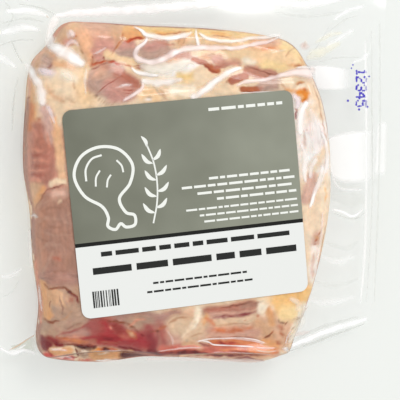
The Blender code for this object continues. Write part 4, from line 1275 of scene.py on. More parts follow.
# painted highlights, with a few gray and shade strips of painted shade
FOLD_LIGHT_AND_SHADE = [
    # colour, opacity, then x, y and half width at each place, as seen
    ("white", 0.95, -74, 64.5, 1.6, -77.6, 58, 2.4, -77.6, 51.5, 2.8, -74, 48.4, 3, -68, 45.4, 3.6,
     -63.6, 42.6, 3.3, -60.4, 40.8, 2),
    ("white", 0.6, -80.6, 50.6, 0.5, -76.6, 50.2, 1.6, -71, 48.6, 1.2),
    ("gray", 0.45, -74.5, 47.8, 0.4, -71.4, 47.4, 0.5),
    ("white", 0.9, -89.6, 42, 1.4, -86.4, 36.6, 2.5, -83, 30, 2.9, -81.6, 24, 2.7, -82.4, 20.5, 1.4),
    ("lilac", 0.7, -83.6, 38.8, 0.9, -79.6, 38, 2, -76.2, 36.8, 0.9),
    ("cream", 0.6, -73, 37, 1, -69.4, 35.8, 2.6, -66.4, 33, 0.8),
    ("pink", 0.8, -69.2, 58.4, 0.8, -67, 56.2, 1.7, -66.4, 53.8, 0.6),
    ("pink", 0.45, -71, 50, 0.6, -66.6, 52.4, 1.4, -63.4, 49.4, 0.6),
    ("white", 0.9, -37.5, 60.2, 0.5, -33, 58, 1.1, -30, 55.7, 1.3, -20, 54.5, 1.4, -12, 55.8, 1.4,
     -7, 58, 0.8),
    ("pink", 0.95, -30, 55.5, 1, -31.4, 52.4, 1.2, -34.6, 50, 1.5, -36.2, 47.6, 1.8, -35.4, 45, 1.9,
     -32, 43.2, 2, -27, 42.8, 2, -21, 44.8, 2.3, -16, 47.6, 2.1, -9, 49.6, 1.8, 2, 50, 1.6, 12, 50, 1.3,
     18, 50.6, 1.2, 25, 52.4, 1.2, 32, 53.6, 1, 38, 56.4, 0.5),
    ("gray", 0.5, -36.4, 49.8, 0.3, -33, 50.6, 0.6),
    ("shade", 0.4, -37.6, 44.6, 0.3, -34.4, 42, 0.5, -30, 41.4, 0.4),
    ("white", 0.85, -6, 59.6, 0.5, -5.4, 54, 1.2, -4, 49, 0.8),
    ("white", 0.8, -5, 57.6, 0.6, 0, 54.6, 1.1, 8, 53.3, 1, 15, 53.6, 1.1, 22, 55, 1.2, 30, 55.5, 1.1,
     38, 57, 0.7),
    ("cream", 0.75, -35, 41, 1, -27, 39.4, 3.6, -17, 40.6, 3.8, -10, 43, 1.8, -6, 41.6, 1),
    ("white", 0.9, -38.6, 40.8, 0.6, -36, 38, 1.1, -30, 36.6, 1.2, -24, 36, 0.7),
    ("white", 0.8, -34, 33.8, 0.9, -28, 33, 2.1, -20, 33, 2.3, -12, 34.6, 1.2),
    ("white", 0.95, -9, 24.6, 1.6, -4, 27.4, 2.1, 1, 31, 2.1, 6, 35, 1.8, 12, 38.6, 1.5, 18.5, 40.4, 0.8),
    ("pink", 0.8, -33, 34, 0.6, -32.6, 30.4, 1.1, -36.6, 27, 1.3, -43, 23.4, 0.7),
    ("pink", 0.9, 14, 31, 0.6, 20, 33.5, 1.2, 30, 34.7, 1.3, 38, 36.7, 1.6, 45, 38.2, 2.4, 50, 38.2, 3.6,
     56, 37.6, 3.4),
    ("white", 0.7, 45, 40.4, 0.5, 50, 40.8, 0.8, 55.6, 40, 0.6),
    ("white", 0.8, 16, 27.6, 0.35, 30, 28.3, 0.45, 40, 28, 0.45, 43, 25.5, 0.4),
    ("white", 0.9, 52, 24.4, 1.2, 48.8, 18.6, 2.2, 47.8, 12, 2.3, 48.2, 6, 1.2),
    ("lilac", 0.7, 43.6, 27.4, 1.2, 46.6, 24, 2, 46, 19, 1.2),
    ("white", 0.7, 48, 3, 0.6, 50.6, -4, 2, 50, -12, 1.6, 51, -18, 0.7),
    ("white", 0.55, 52.6, 21, 1.4, 55.4, 13, 3.2, 56.4, 4, 3.8, 56, -4, 2),
    ("white", 0.7, 55, 16, 0.5, 58, 8, 1.2, 58.6, 0, 0.6),
    ("white", 0.7, 58.6, 9, 0.8, 61.6, 2, 1.4, 62, -8, 1.3, 59, -18, 0.7),
    ("white", 0.9, 60, -8, 1, 58.6, -15, 1.7, 55.6, -23, 1.6, 53, -31, 0.8),
    ("white", 0.6, 57, -4, 1.2, 54, -10, 1.8, 53, -16, 0.8),
    ("pink", 0.5, 60, -32, 0.5, 59.4, -44, 0.9, 57, -58, 0.6),
    ("white", 0.8, -6, -96.8, 0.4, -3, -96.4, 0.7, 1, -97.4, 0.6, 3, -98.6, 0.5, 10, -99.3, 0.4,
     15, -99.7, 0.4, 21, -100.2, 0.6, 25, -100.9, 0.35),
    ("white", 0.7, -4, -96.3, 0.4, 1, -95.7, 0.5, 10, -95.6, 0.35, 18, -95.8, 0.45, 25, -97, 0.5,
     31, -99.2, 0.35),
    ("pink", 0.5, 6, -95.9, 0.3, 14, -96, 0.5, 24, -97.6, 0.6, 30, -99.6, 0.4),
    ("pink", 0.6, 24, -100.6, 0.4, 30, -101.4, 0.7, 36, -101.6, 0.6),
    ("cream", 0.55, 24, -102.4, 0.4, 31, -103.4, 0.7, 37, -103, 0.5),
    ("pink", 0.35, 2, -102.4, 0.3, 10, -102.8, 0.4, 22, -103.8, 0.4, 34, -105, 0.4),
    ("white", 0.75, -57, -104.2, 0.4, -48, -104.8, 0.6, -41, -104.4, 0.4),
    ("cream", 0.65, 50.8, -79, 0.9, 49.4, -87, 1.8, 46, -94, 1.9, 41.6, -100, 1),
    ("white", 0.6, 44.4, -92.2, 0.3, 41.8, -96, 0.5, 40.4, -100.6, 0.4),
    ("white", 0.5, -84.4, -65, 0.5, -84, -72, 1.1, -82.8, -79, 0.6),
    ("white", 0.55, -88.8, -38, 0.4, -88.2, -48, 0.8, -87.8, -58, 0.5),
    ("pink", 0.6, -79.5, -98, 0.5, -74, -98.2, 0.8, -70, -98.8, 0.4),
    ("white", 0.5, -89, -31.5, 0.4, -86, -32, 1, -84, -33.5, 0.5),
    ("pink", 0.55, -44.4, 31.2, 0.5, -38.5, 31.6, 0.8),
    ("white", 0.35, -60, 40, 0.5, -61, 33, 1, -60.6, 26, 0.5),
    ("lilac", 0.5, -79.6, 22, 0.8, -77.4, 17, 1.2, -75.6, 12, 0.5),
    ("cream", 0.5, 42, -76, 1, 47, -79, 2, 46, -84, 1),
    ("white", 0.35, -50, 50, 0.5, -54, 47.6, 0.9, -57.6, 46, 0.4),
    ("pink", 0.45, -26, -101, 0.4, -12, -99.8, 0.6, -2, -99.9, 0.4),
    ("white", 0.2, -21, -90, 0.4, -18, -95, 0.8, -18, -99, 0.4),
    ("pink", 0.4, -58, -99.8, 0.5, -49, -100, 0.8, -43, -99.6, 0.4),
]
print("folds:", len(FOLD_LIGHT_AND_SHADE))


# %% Strips and level places on the film
FOLD_STEP = 0.6
FOLD_ACROSS = 8
FOLD_SPREAD = 1.15
FOLD_RISE = 0.12
FACET_CELLS = 30


def open_curve(knots):
    """A smooth curve through the knots, in steps of about FOLD_STEP mm."""
    ends = np.vstack([2 * knots[0] - knots[1], knots, 2 * knots[-1] - knots[-2]])
    pieces = []
    for before, start, end, after in zip(ends[:-3], ends[1:-2], ends[2:-1], ends[3:]):
        count = max(2, int(np.hypot(*(end - start)[:2]) / FOLD_STEP))
        part = np.arange(count)[:, None] / count
        pieces.append(0.5 * (2.0 * start + (end - before) * part
                             + (2.0 * before - 5.0 * start + 4.0 * end - after) * part ** 2
                             + (3.0 * start - before - 3.0 * end + after) * part ** 3))
    return np.vstack(pieces + [knots[-1:]])


def on_film(seen, plane):
    """Places and heights on the front film of points as seen in a plane."""
    height = np.full(len(seen), plane)
    for _ in range(4):
        points = EYE[:2] + (seen - EYE[:2]) * ((EYE[2] - height) / (EYE[2] - plane))[:, None]
        height = film_height(points)
    return points, height


def quads_of(rows, columns):
    """Faces of a sheet whose corners stand in rows and columns."""
    first = (np.arange(rows - 1)[:, None] * columns + np.arange(columns - 1)).ravel()
    return np.stack([first, first + columns, first + columns + 1, first + 1], axis=-1)


def sheen(name, count):
    """The painted colour of one strip or patch on each of its corners."""
    return np.tile([*tone(*SHEEN[name]), 1.0], (count, 1))


def ribbon(row, plane, softness):
    """Corners, faces, opacity and colour of one painted strip of sheen, shade or juice."""
    name, opacity, *numbers = row
    curve = open_curve(np.array(numbers, float).reshape(-1, 3))
    ahead_of = np.gradient(curve[:, :2], axis=0)
    ahead_of /= np.linalg.norm(ahead_of, axis=1)[:, None]
    aside = np.stack([-ahead_of[:, 1], ahead_of[:, 0]], axis=-1)
    length = np.concatenate([[0.0], np.cumsum(np.hypot(*np.diff(curve[:, :2], axis=0).T))])
    ends = np.minimum(smooth(0.0, 2.0, length), smooth(0.0, 2.0, length[-1] - length))
    half = np.maximum(curve[:, 2], 0.15)[:, None] * FOLD_SPREAD
    across = np.linspace(-1.0, 1.0, FOLD_ACROSS + 1)
    left_edge = 0.3 * noise(curve[:, :2], 2.6, 5)[:, None]
    right_edge = 0.3 * noise(curve[:, :2], 2.9, 6)[:, None]
    uneven = 1.0 + left_edge * (across > 0) + right_edge * (across < 0)
    seen = curve[:, None, :2] + aside[:, None, :] * (half * across * uneven)[..., None]
    points, height = on_film(seen.reshape(-1, 2), plane)
    dome = (1.0 - across ** 2) * np.minimum(half, 2.0) * FOLD_RISE * ends[:, None]
    patchy = 0.85 + 0.25 * noise(seen.reshape(-1, 2), 3.4, 9)
    cover = opacity * (1.0 - smooth(softness, 1.0, np.abs(across))) * ends[:, None]
    cover = np.clip(cover.ravel() * patchy, 0.0, 1.0)
    corners = np.column_stack([points, height + 0.05 + dome.ravel()])
    return corners, quads_of(len(curve), FOLD_ACROSS + 1), cover, sheen(name, len(points))


def facet(row, plane, softness):
    """Corners, faces, opacity and colour of one level place between two edges, painted as reflection or
    shade.
    """
    name, opacity, upper, lower = row
    last = len(upper) - 1
    along = np.linspace(0.0, last, FACET_CELLS)
    top, low = (np.stack([np.interp(along, range(last + 1), axis) for axis in np.array(edge).T], axis=-1)
                for edge in (upper, lower))
    down = np.linspace(0.0, 1.0, FACET_CELLS)
    seen = top[:, None, :] + (low - top)[:, None, :] * down[:, None]
    points, height = on_film(seen.reshape(-1, 2), plane)
    along = (along / last)[:, None]
    cover = opacity * smooth(0.0, softness, along) * (1.0 - smooth(0.6, 1.0, along))
    cover = cover * smooth(0.0, softness, down) * (1.0 - smooth(1.0 - 2.0 * softness, 1.0, down))
    faces = quads_of(FACET_CELLS, FACET_CELLS)[:, ::-1]
    return np.column_stack([points, height + 0.04]), faces, cover.ravel(), sheen(name, len(points))


print("a sheet of 3 by 3 corners has", len(quads_of(3, 3)), "faces")

# %% Milky film with painted sheen, and the folds as one piece
milky_sheen_material, nodes, links = new_material("milky_sheen_film")
shader = nodes["Principled BSDF"]
shader.inputs["Roughness"].default_value = 0.3
links.new(kept_value("tint").outputs["Color"], shader.inputs["Base Color"])
links.new(kept_value("cover").outputs["Fac"], shader.inputs["Alpha"])


def strip_piece(name, rows, plane, softness, shape):
    """One piece with a strip or facet for each row; cover and tint are kept on its corners."""
    corners, faces, covers, tints = [], [], [], []
    for index, row in enumerate(rows):
        more, quads, cover, tint = shape(row, plane, softness)
        more[:, 2] += 0.004 * (index % 9)
        faces.append(quads + sum(len(item) for item in corners))
        corners.append(more)
        covers.append(cover)
        tints.append(tint)
    mesh = bpy.data.meshes.new(name)
    mesh.from_pydata((np.vstack(corners) * MM).tolist(), [], np.vstack(faces).tolist())
    piece = bpy.data.objects.new(name, mesh)
    bpy.context.collection.objects.link(piece)
    add_values(piece, "cover", "FLOAT", np.concatenate(covers))
    add_values(piece, "tint", "FLOAT_COLOR", np.vstack(tints))
    mesh.shade_smooth()
    mesh.materials.append(milky_sheen_material)
    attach(piece, "root")
    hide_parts("pouch")
    print(name, "-", len(rows), "strips,", len(mesh.polygons), "faces")


# painted highlights and shade on the film over the meat
strip_piece("film_fold_light", FOLD_LIGHT_AND_SHADE, SEEN_LEVEL, 0.15, ribbon)

# %% [markdown]
# ## Painted sheen and shade on the flange
# Two films lie on each other past the meat. They hang in slow waves, and the real
# pouch wrinkles at the block's corners, where it is drawn together. These wrinkles
# are painted, not shaped: level parts are hardly seen, white strips are painted
# highlights where a wrinkle would tip to the light, and thin gray strips are painted
# shade along the creases. They are drawn with the same strips as the folds. A painted
# reflection of a level place that mirrors the light is wider than a strip can be, so
# it is a sheet between two edges.

# %% Flange wrinkles, painted as sheen and shade
# painted highlights (bright), painted shade (gray), and juice (juice, straw)
WRINKLE_LIGHT_AND_SHADE = [
    # colour, opacity, then x, y and half width at each place, as seen at the seam's height
    ("bright", 0.35, 70, -8, 0.6, 76, -21.4, 0.9, 90, -23, 1),
    ("gray", 0.16, 71, -26, 2, 80, -28, 4, 92, -28, 3.4),
    ("bright", 0.8, 72, -33, 0.5, 78, -34.4, 0.8, 84, -37, 0.7, 90, -33, 0.5),
    ("gray", 0.35, 73, -35, 0.3, 84, -38.4, 0.5, 92, -34.4, 0.3),
    ("bright", 0.95, 45, -107, 0.8, 58, -102.4, 1.6, 70, -98, 1.7, 84, -94.4, 1.4, 93, -92, 0.9),
    ("gray", 0.3, 50, -103, 0.4, 64, -96.8, 0.9, 76, -93.4, 0.9, 88, -90.6, 0.4),
    ("gray", 0.5, 46, -109, 0.4, 60, -104.8, 0.7, 72, -100.8, 0.8, 84, -97, 0.7, 92, -94.4, 0.4),
    ("bright", 0.9, -74, 66, 1, -60, 68, 2.2, -30, 70, 2.6, 0, 73, 2.2, 22, 75, 1),
    ("gray", 0.28, -50, 73, 0.4, -20, 75.6, 1, 10, 78, 0.5),
    ("gray", 0.4, -72, 66.6, 0.3, -80, 70, 0.5, -92, 72, 0.3),
    ("bright", 0.75, -76, 66, 0.6, -86, 68.6, 1.8, -98, 68, 1.2),
    ("gray", 0.35, -78, 63, 0.3, -88, 64.6, 0.6, -100, 62, 0.3),
    ("bright", 0.6, -80, 59, 0.6, -90, 60, 2.2, -101, 57, 1.2),
    ("gray", 0.4, -83, 54, 0.3, -92, 54, 0.5, -101, 51, 0.4),
    ("gray", 0.5, -89, 42, 0.3, -92, 47, 0.45, -95, 54, 0.3),
    ("bright", 0.5, -92, 40, 0.6, -98, 44, 2, -103, 48, 1),
    ("gray", 0.3, -97, 60, 0.4, -94, 66, 0.6, -98, 73, 0.4),
    ("tan", 0.5, -75.6, 64.6, 0.3, -78.6, 67, 0.4, -83, 68.6, 0.3),
    ("bright", 0.6, -86, 73, 0.8, -92, 77, 1.8, -101, 77, 1),
    ("gray", 0.4, -91.6, 36, 0.3, -94, 24, 0.5, -95, 8, 0.3),
    ("gray", 0.2, -92, -66, 0.3, -96, -72, 0.5, -101, -75, 0.3),
    ("bright", 0.3, -90, -60, 0.6, -96, -64, 1.6, -102, -64, 0.8),
    ("gray", 0.35, 93.4, 62, 0.3, 94, 20, 0.5, 94.6, -30, 0.4, 92, -84, 0.3),
    ("bright", 0.5, 90, 56, 0.5, 91, 10, 0.8, 91, -50, 0.8, 88.6, -84, 0.5),
    ("gray", 0.3, 98, 66, 0.4, 98.6, 0, 0.7, 96.4, -84, 0.4),
    ("gray", 0.3, 62, 50, 0.3, 66, 56, 0.4, 70, 63, 0.3),
    ("tan", 0.4, 55.4, 51.6, 0.4, 57, 53.4, 1.2, 57.6, 56, 0.5),
    ("juice", 0.35, 53.6, 53, 0.6, 56.6, 52.6, 2.2, 60, 52, 0.8),
    ("straw", 0.5, 57, 45.6, 1, 62, 48, 3, 69, 51, 2.6, 77, 55, 1),
    ("straw", 0.4, 62, 54, 0.8, 70, 58, 1.6, 78, 60, 0.8),
    ("bright", 0.45, 62, 47, 0.6, 72, 54, 1.4, 84, 62, 1),
    ("gray", 0.3, 70, 60, 0.3, 78, 66, 0.5, 86, 69, 0.3),
    ("bright", 0.5, 72, 66, 0.5, 80, 71, 1.2, 90, 74, 0.6),
    ("gray", 0.28, 64, 44, 0.3, 74, 46.6, 0.5, 88, 47, 0.3),
    ("bright", 0.4, 82, 44, 0.4, 88, 46, 0.9, 93, 50, 0.5),
    ("bright", 0.6, 30, 76, 0.8, 56, 74, 2.4, 80, 78, 1),
    ("gray", 0.22, 40, 70, 0.4, 60, 68, 0.8, 84, 72, 0.4),
    ("gray", 0.12, 68, -50, 0.6, 80, -54, 1.6, 88, -50, 0.6),
    ("bright", 0.25, 66, -58, 0.8, 76, -61, 2.4, 86, -58, 1.2),
    ("gray", 0.14, 60, -70, 0.5, 74, -74, 1.4, 88, -70, 0.6),
    ("bright", 0.3, 58, -80, 0.8, 70, -83, 2.2, 86, -80, 1.2),
    ("juice", 0.22, 46, -101, 0.5, 54, -99, 1.4, 62, -98, 0.6),
    ("tan", 0.35, 50, -92, 0.5, 56, -88, 1, 60, -84, 0.4),
    ("pink", 0.6, -28, -109.2, 0.5, -12, -109.6, 0.9, 5, -110.7, 0.9, 20, -111.6, 0.8, 36, -112.4, 0.6),
    ("tan", 0.8, -83, -93.6, 0.3, -88, -96.4, 0.4, -93, -99.6, 0.4, -98, -102, 0.3),
    ("bright", 0.8, -84, -104, 0.5, -90, -102, 1.2, -96, -103.4, 0.9, -103, -100, 0.6),
    ("bright", 0.6, -88, -98.6, 0.4, -93, -101.4, 0.8, -98, -103, 0.5),
]
# broad painted reflections of the soft box (bright), and one patch of painted shade (moss)
FACET_LIGHT_AND_SHADE = [
    # colour, opacity, upper edge, lower edge, as seen at the seam's height
    ("bright", 0.6, [(61, 42.6), (68, 42.8), (75, 41.8), (84, 40.4)],
     [(62.4, 29.6), (69, 29.2), (76, 29.4), (85, 30)]),
    ("bright", 0.62, [(69.8, 4.4), (73, 6.4), (78, 7.8), (85, 8.8), (93, 9.2), (101, 8)],
     [(70.4, -12), (73, -18), (78, -20.4), (85, -20.8), (93, -20), (101, -18)]),
    ("moss", 0.6, [(-97, -99.6), (-92.4, -98.6), (-87, -96), (-82.2, -93)],
     [(-96, -102), (-91, -102.4), (-87, -103.6), (-83, -104.4)]),
    ("bright", 0.4, [(97, 12), (101, 14), (103, 13)], [(96, -16), (100, -17), (103, -16)]),
]
FLANGE_LEVEL = 13.0

# painted highlights and shade on the flange, as strips and as broad patches
strip_piece("flange_wrinkle_light", WRINKLE_LIGHT_AND_SHADE, FLANGE_LEVEL, 0.3, ribbon)
strip_piece("flange_facet_light", FACET_LIGHT_AND_SHADE, FLANGE_LEVEL, 0.07, facet)

# %% [markdown]
# ## The back film
# The second film lies under the meat, pressed flat on the floor, and meets the
# front film in the flange. A pouch is two films welded at their edges, so it is made
# as the front film was, with its own height, and turned over to look down.

# %% Back film
film_back, u, v = flat_grid("film_back", BACK_FILM_CELLS)
points = pouch_place(u, v)
depth, far, middle = film_levels(points)
hollow = np.maximum(BACK_FLAT - lobes(points, BACK_LOBES, BACK_FILM_SHARPNESS), 0.0)
low = SEAM_HEIGHT + (hollow - SEAM_HEIGHT) * shoulder(depth + FILM_OUTSIDE, BOTTOM_ROUNDING, 2.0)
fall = np.clip(1.0 - far / FILLET, 0.0, 1.0) ** 2
height = np.where(far <= 0.0, low, middle - FILM_HALF + (low - middle + FILM_HALF) * fall)
set_shape(film_back, points, height)
bpy.ops.object.mode_set(mode="EDIT")
bpy.ops.mesh.select_all(action="SELECT")
bpy.ops.mesh.flip_normals()
bpy.ops.object.mode_set(mode="OBJECT")
bpy.ops.object.shade_smooth()
place_film(film_back)
print("back film:", len(film_back.data.polygons), "faces")

# %% [markdown]
# ## The label
# A sheet of coated paper with round corners. It is stiffer than the film, so it
# only follows the slow waves of the smooth place under it. Its upper field is
# olive-gray, with a painted sheen that makes it paler to the right, its lower
# field white, with a thin dark stripe between them. Three sheets could gape where
# they meet, so it is one sheet, and cuts along the stripe part it into the three fields.

# %% Label sheet
LABEL_CELLS = 60
STRIPE_TOP = -14.0
STRIPE_LOW = -15.9


def label_height(points):
    """Height of the label's underside."""
    return under_label(points) + LABEL_GAP


def from_label(across_label, up_label):
    """Places on the label, from its middle and along its sides, as places on the pack."""
    east = across_label * math.cos(LABEL_TURN) - up_label * math.sin(LABEL_TURN)
    north = across_label * math.sin(LABEL_TURN) + up_label * math.cos(LABEL_TURN)
    return np.stack([east, north], axis=-1) + LABEL_MIDDLE


print("middle of the label:", from_label(0.0, 0.0))

# %% Cut the sheet round and print its fields
label, u, v = flat_grid("label_sheet", LABEL_CELLS)
half_x, half_y = LABEL_SIZE[0] / 2, LABEL_SIZE[1] / 2
x, y = u * half_x, v * half_y
over_x = np.maximum(np.abs(x) - (half_x - LABEL_CORNER), 0.0)
over_y = np.maximum(np.abs(y) - (half_y - LABEL_CORNER), 0.0)
reach = np.hypot(over_x, over_y)
cut_off = reach > LABEL_CORNER
pull = np.where(cut_off, LABEL_CORNER / np.maximum(reach, 1e-9), 1.0)
x = np.where(cut_off, np.sign(x) * (half_x - LABEL_CORNER + over_x * pull), x)
y = np.where(cut_off, np.sign(y) * (half_y - LABEL_CORNER + over_y * pull), y)
set_shape(label, np.stack([x, y], axis=-1), np.zeros(len(x)))
for level in (STRIPE_TOP, STRIPE_LOW):
    bpy.ops.object.mode_set(mode="EDIT")
    bpy.ops.mesh.select_all(action="SELECT")
    bpy.ops.mesh.bisect(plane_co=(0, level * MM, 0), plane_no=(0, 1, 0))
    bpy.ops.object.mode_set(mode="OBJECT")
flat = np.zeros(len(label.data.vertices) * 3)
label.data.vertices.foreach_get("co", flat)
flat = flat.reshape(-1, 3) / MM
points = from_label(flat[:, 0], flat[:, 1])
fields = []
for face in label.data.polygons:
    middle_up = face.center.y / MM
    fields.append(0 if middle_up > STRIPE_TOP else 1 if middle_up > STRIPE_LOW else 2)
label.data.polygons.foreach_set("material_index", fields)
set_shape(label, points, label_height(points))
bpy.ops.object.shade_smooth()


# %% Coated paper
# the gray field's own tone at the left, and a paler tone to the right that is a painted sheen
GRAY_AND_SHEEN_TONES = (tone(96, 98, 83), tone(135, 138, 123))
STRIPE_TONE = tone(16, 17, 14)
WHITE_TONE = tone(222, 224, 221)
PAPER_ROUGHNESS = 0.42
CLOUD_SCALE = 34.0
SHEEN_FROM = (-0.07, 0.05)
SHEEN_TO = (-0.35, 0.55)


def paper(name, color, roughness):
    """Coated paper or ink in one even colour."""
    material, nodes, _ = new_material(name)
    shader = nodes["Principled BSDF"]
    shader.inputs["Base Color"].default_value = (*color, 1.0)
    shader.inputs["Roughness"].default_value = roughness
    shader.inputs["Specular IOR Level"].default_value = 0.2
    return material


gray_material, nodes, links = new_material("label_gray")
shader = nodes["Principled BSDF"]
shader.inputs["Roughness"].default_value = PAPER_ROUGHNESS
place_node = nodes.new("ShaderNodeTexCoord")
cloud = nodes.new("ShaderNodeTexNoise")
cloud.inputs["Scale"].default_value = CLOUD_SCALE
cloud.inputs["Detail"].default_value = 2.0
links.new(place_node.outputs["Object"], cloud.inputs["Vector"])
split = nodes.new("ShaderNodeSeparateXYZ")
links.new(place_node.outputs["Object"], split.inputs["Vector"])
# painted sheen: the gray is painted paler to the right, with a random cloud in its tone
sheen_across = nodes.new("ShaderNodeMapRange")
sheen_across.inputs["From Min"].default_value, sheen_across.inputs["From Max"].default_value = SHEEN_FROM
sheen_across.inputs["To Min"].default_value, sheen_across.inputs["To Max"].default_value = SHEEN_TO
links.new(split.outputs["X"], sheen_across.inputs["Value"])
total = nodes.new("ShaderNodeMath")
total.operation = "ADD"
total.use_clamp = True
links.new(sheen_across.outputs["Result"], total.inputs[0])
links.new(cloud.outputs["Fac"], total.inputs[1])
sheen_fade = nodes.new("ShaderNodeMix")
sheen_fade.data_type = "RGBA"
sheen_fade.inputs[6].default_value = (*GRAY_AND_SHEEN_TONES[0], 1.0)
sheen_fade.inputs[7].default_value = (*GRAY_AND_SHEEN_TONES[1], 1.0)
links.new(total.outputs["Value"], sheen_fade.inputs[0])
links.new(sheen_fade.outputs[2], shader.inputs["Base Color"])
label.data.materials.append(gray_material)
label.data.materials.append(paper("label_stripe", STRIPE_TONE, PAPER_ROUGHNESS))
label.data.materials.append(paper("label_white", WHITE_TONE, PAPER_ROUGHNESS))
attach(label, "root")
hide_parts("label")
print("label:", len(label.data.polygons), "faces")

# %% [markdown]
# ## The label's print
# A layer of ink has hardly any thickness, so the print is thin faces just over the
# paper. A line drawing of a drumstick with a sprig fills the left of the gray field.
# Small print could be text objects, but letters this small only read as gray rows,
# so it is rows of short bars, like a dummy text.

# %% Ink on the label
INK_OVER = 0.05
INK_ROUGHNESS = 0.45


def ink(name, corners, faces, material):
    """Printed faces, given in the label's own places, laid just over the paper."""
    places = from_label(*np.array(corners, float).T)
    height = label_height(places) + INK_OVER
    mesh = bpy.data.meshes.new(name)
    mesh.from_pydata((np.column_stack([places, height]) * MM).tolist(), [], faces)
    mesh.materials.append(material)
    piece = bpy.data.objects.new(name, mesh)
    bpy.context.collection.objects.link(piece)
    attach(piece, "root")
    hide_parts("label")
    print(name, "-", len(faces), "faces")


# %% Rows of bars and drawn lines
def bars(rows):
    """Corners and faces of rows of bars: left, right, height on the label, thickness, seed."""
    corners, faces = [], []
    for left, right, up_label, thick, seed in rows:
        random = np.random.RandomState(seed)
        start = left
        while start < right - thick:
            end = min(start + thick * random.uniform(2.0, 6.0), right)
            if right - end < thick * 1.6:
                end = right
            edges = np.linspace(start, end, max(2, int((end - start) / 4.0) + 2))
            for west, east in zip(edges[:-1], edges[1:]):
                first = len(corners)
                corners += [(west, up_label - thick / 2), (east, up_label - thick / 2),
                            (east, up_label + thick / 2), (west, up_label + thick / 2)]
                faces.append((first, first + 1, first + 2, first + 3))
            start = end + thick * 0.75
    return corners, faces


def pen(lines):
    """Corners and faces of drawn lines. A round one closes on itself, a leaf is pointed."""
    corners, faces = [], []
    for kind, half, *numbers in lines:
        knots = np.array(numbers, float).reshape(-1, 2)
        if kind == "round":
            knots = np.vstack([knots[-2:], knots, knots[:3]])
        curve = open_curve(np.column_stack([knots, knots]))[:, :2]
        if kind == "round":
            start, end = (np.hypot(*(curve - knots[index]).T) < 1e-6 for index in (2, -3))
            curve = curve[np.flatnonzero(start)[0]:np.flatnonzero(end)[-1] + 1]
        step = np.gradient(curve, axis=0)
        step /= np.linalg.norm(step, axis=1)[:, None]
        aside = np.stack([-step[:, 1], step[:, 0]], axis=-1)
        part = np.linspace(0.0, 1.0, len(curve))
        width = half * (np.sin(math.pi * part) ** 0.7 if kind == "leaf" else np.ones(len(curve)))
        first = len(corners)
        for place, way, reach in zip(curve, aside, width):
            corners += [tuple(place - way * max(reach, 0.05)), tuple(place + way * max(reach, 0.05))]
        for index in range(len(curve) - 1):
            row = first + 2 * index
            faces.append((row, row + 2, row + 3, row + 1))
    return corners, faces


print("corners of one row of bars:", len(bars([(0.0, 20.0, 0.0, 1.0, 1)])[0]))

# %% Print on the label
DRUMSTICK = [
    # kind of line, half width, then x and y at each place on the label
    ("round", 0.75, -43, 3, -51, 9, -55, 19, -51, 28, -42, 32, -32, 30, -26, 22, -28, 13, -34, 6,
     -31.6, -1, -27.4, -3, -27.6, -7.6, -32, -8.4, -34.6, -6.4, -37.4, -9, -41, -7, -40.4, -2.6),
    ("line", 0.5, -49.4, 16, -49, 22, -45.6, 26.6, -40.6, 28),
    ("line", 0.45, -45, 13, -44.4, 17.4, -42.2, 20.6),
    ("line", 0.45, -39.6, 12, -38.8, 15.6, -37, 18), ("line", 0.45, -33.6, 24.8, -31.4, 22, -30.8, 18.6),
    ("line", 0.4, -18.4, -8, -15.6, 2, -14.6, 12, -15.4, 22, -18, 31),
    ("leaf", 1.0, -17, -3, -20.4, -1.4, -22.6, 2.4), ("leaf", 1.0, -16.4, -0.6, -12.8, 0.6, -10.4, 3.8),
    ("leaf", 1.0, -15.4, 5, -18.8, 6.4, -21, 10.2), ("leaf", 1.0, -15, 7.4, -11.4, 8.4, -8.8, 11.6),
    ("leaf", 1.0, -14.8, 13, -18, 14.6, -20.2, 18.4), ("leaf", 1.0, -14.8, 15.4, -11.4, 16.8, -9, 20),
    ("leaf", 1.0, -15.8, 21.4, -18.8, 22.8, -21, 26.6), ("leaf", 1.0, -16, 23, -13, 24.8, -11.4, 28.2),
    ("leaf", 0.9, -18, 29.6, -18.4, 32.6, -20.4, 35.4),
]
LIGHT_ROWS = [
    # left, right, height on the label, thickness, seed
    (14.4, 52.4, 45.2, 1.5, 1), (11.5, 55.2, 11.2, 1.25, 2), (-2.6, 55.4, 7.7, 1.25, 3),
    (5.0, 55.6, 4.2, 1.25, 4), (14.6, 55.8, 0.7, 1.25, 5), (-1.4, 55.8, -3.6, 1.0, 6),
    (5.2, 56.0, -6.8, 1.0, 7), (7.2, 56.0, -10.0, 1.0, 8),
]
DARK_ROWS = [
    (-45.8, 50.4, -20.4, 2.3, 19), (-50.6, 53.4, -28.4, 3.3, 24),
    (-21.4, 26.7, -37.6, 1.0, 11), (-24.8, 29.3, -41.8, 1.0, 12),
]
corners, faces = pen(DRUMSTICK)
more, quads = bars(LIGHT_ROWS)
faces = faces + [tuple(corner + len(corners) for corner in face) for face in quads]
ink("print_light", corners + more, faces, paper("ink_light", tone(228, 230, 224), INK_ROUGHNESS))

# %% Dark print, with a small bar code
CODE_LEFT = -52.0
CODE_RIGHT = -38.6
CODE_LOW = -46.4
CODE_TOP = -38.2

corners, faces = bars(DARK_ROWS)
random = np.random.RandomState(3)
start = CODE_LEFT
while start < CODE_RIGHT:
    end = start + random.choice([0.3, 0.55, 0.85])
    first = len(corners)
    corners += [(start, CODE_LOW), (end, CODE_LOW), (end, CODE_TOP), (start, CODE_TOP)]
    faces.append((first, first + 1, first + 2, first + 3))
    start = end + random.choice([0.35, 0.55, 0.8])
ink("print_dark", corners, faces, paper("ink_dark", tone(30, 32, 30), INK_ROUGHNESS))

# %% [markdown]
# ## The ink-jet mark
# An ink-jet head at the end of the packing line sprays a running number on the
# film's margin as dots. The number here is a plain row of digits that reads from
# the top down. The dots are seen one by one, so each is a small disc of its own.

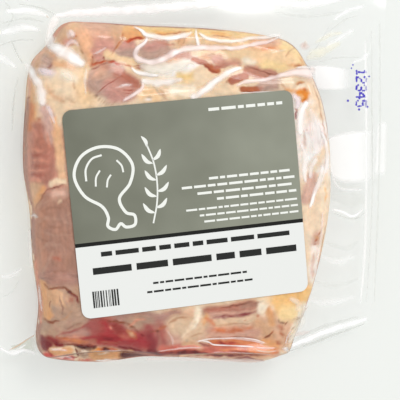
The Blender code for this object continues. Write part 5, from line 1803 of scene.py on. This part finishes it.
# %% Where the dots are
DIGITS = {
    # five dots across and seven down, row by row
    "1": "00100" "01100" "00100" "00100" "00100" "00100" "01110",
    "2": "01110" "10001" "00001" "00110" "01000" "10000" "11110",
    "3": "01110" "10001" "00001" "00110" "00001" "10001" "01110",
    "4": "00010" "00110" "01010" "10010" "11111" "00010" "00010",
    "5": "11111" "10000" "11110" "00001" "00001" "10001" "01110",
}
DOT_PITCH = 0.88
DOT_ASIDE = 0.72
DOT_RADIUS = 0.58
DOT_CORNERS = 8
DIGIT_STEP = 4.1
MARK_TOP = (90.4, 40.6)
STRAY_DOTS = [(82.2, 41.2), (92.0, 37.0), (80.4, 24.2), (91.2, 21.0), (86.6, 19.6), (83.0, 43.0)]

random = np.random.RandomState(12)
dots = list(STRAY_DOTS)
for index, digit in enumerate("12345"):
    for place, mark in enumerate(DIGITS[digit]):
        if mark == "1":
            row, column = divmod(place, 5)
            east = MARK_TOP[0] - row * DOT_PITCH
            north = MARK_TOP[1] - index * DIGIT_STEP - column * DOT_ASIDE
            dots.append((east + random.uniform(-0.12, 0.12), north + random.uniform(-0.12, 0.12)))
print("dots of ink:", len(dots))

# %% Dots on the flange
INK_ABOVE_FILM = 0.07

centers, height = on_film(np.array(dots), SEAM_HEIGHT)
bpy.ops.object.select_all(action="DESELECT")
bpy.ops.mesh.primitive_circle_add(vertices=DOT_CORNERS)
ink_dots = bpy.context.object
ink_dots.name = "ink_dots"
ink_dots.data.name = "ink_dots"
bpy.ops.object.mode_set(mode="EDIT")
bpy.ops.mesh.select_all(action="SELECT")
bpy.ops.mesh.delete(type="VERT")
for (x, y), z in zip(centers, height):
    size = DOT_RADIUS * random.uniform(0.7, 1.15)
    bpy.ops.mesh.primitive_circle_add(vertices=DOT_CORNERS, radius=size * MM, fill_type="NGON",
                                      location=(x * MM, y * MM, (z + INK_ABOVE_FILM) * MM))
bpy.ops.object.mode_set(mode="OBJECT")
ink_dots.data.materials.append(paper("ink_violet", tone(76, 66, 186), 0.5))
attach(ink_dots, "root")
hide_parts("pouch")
print("dots on the film:", len(ink_dots.data.polygons))
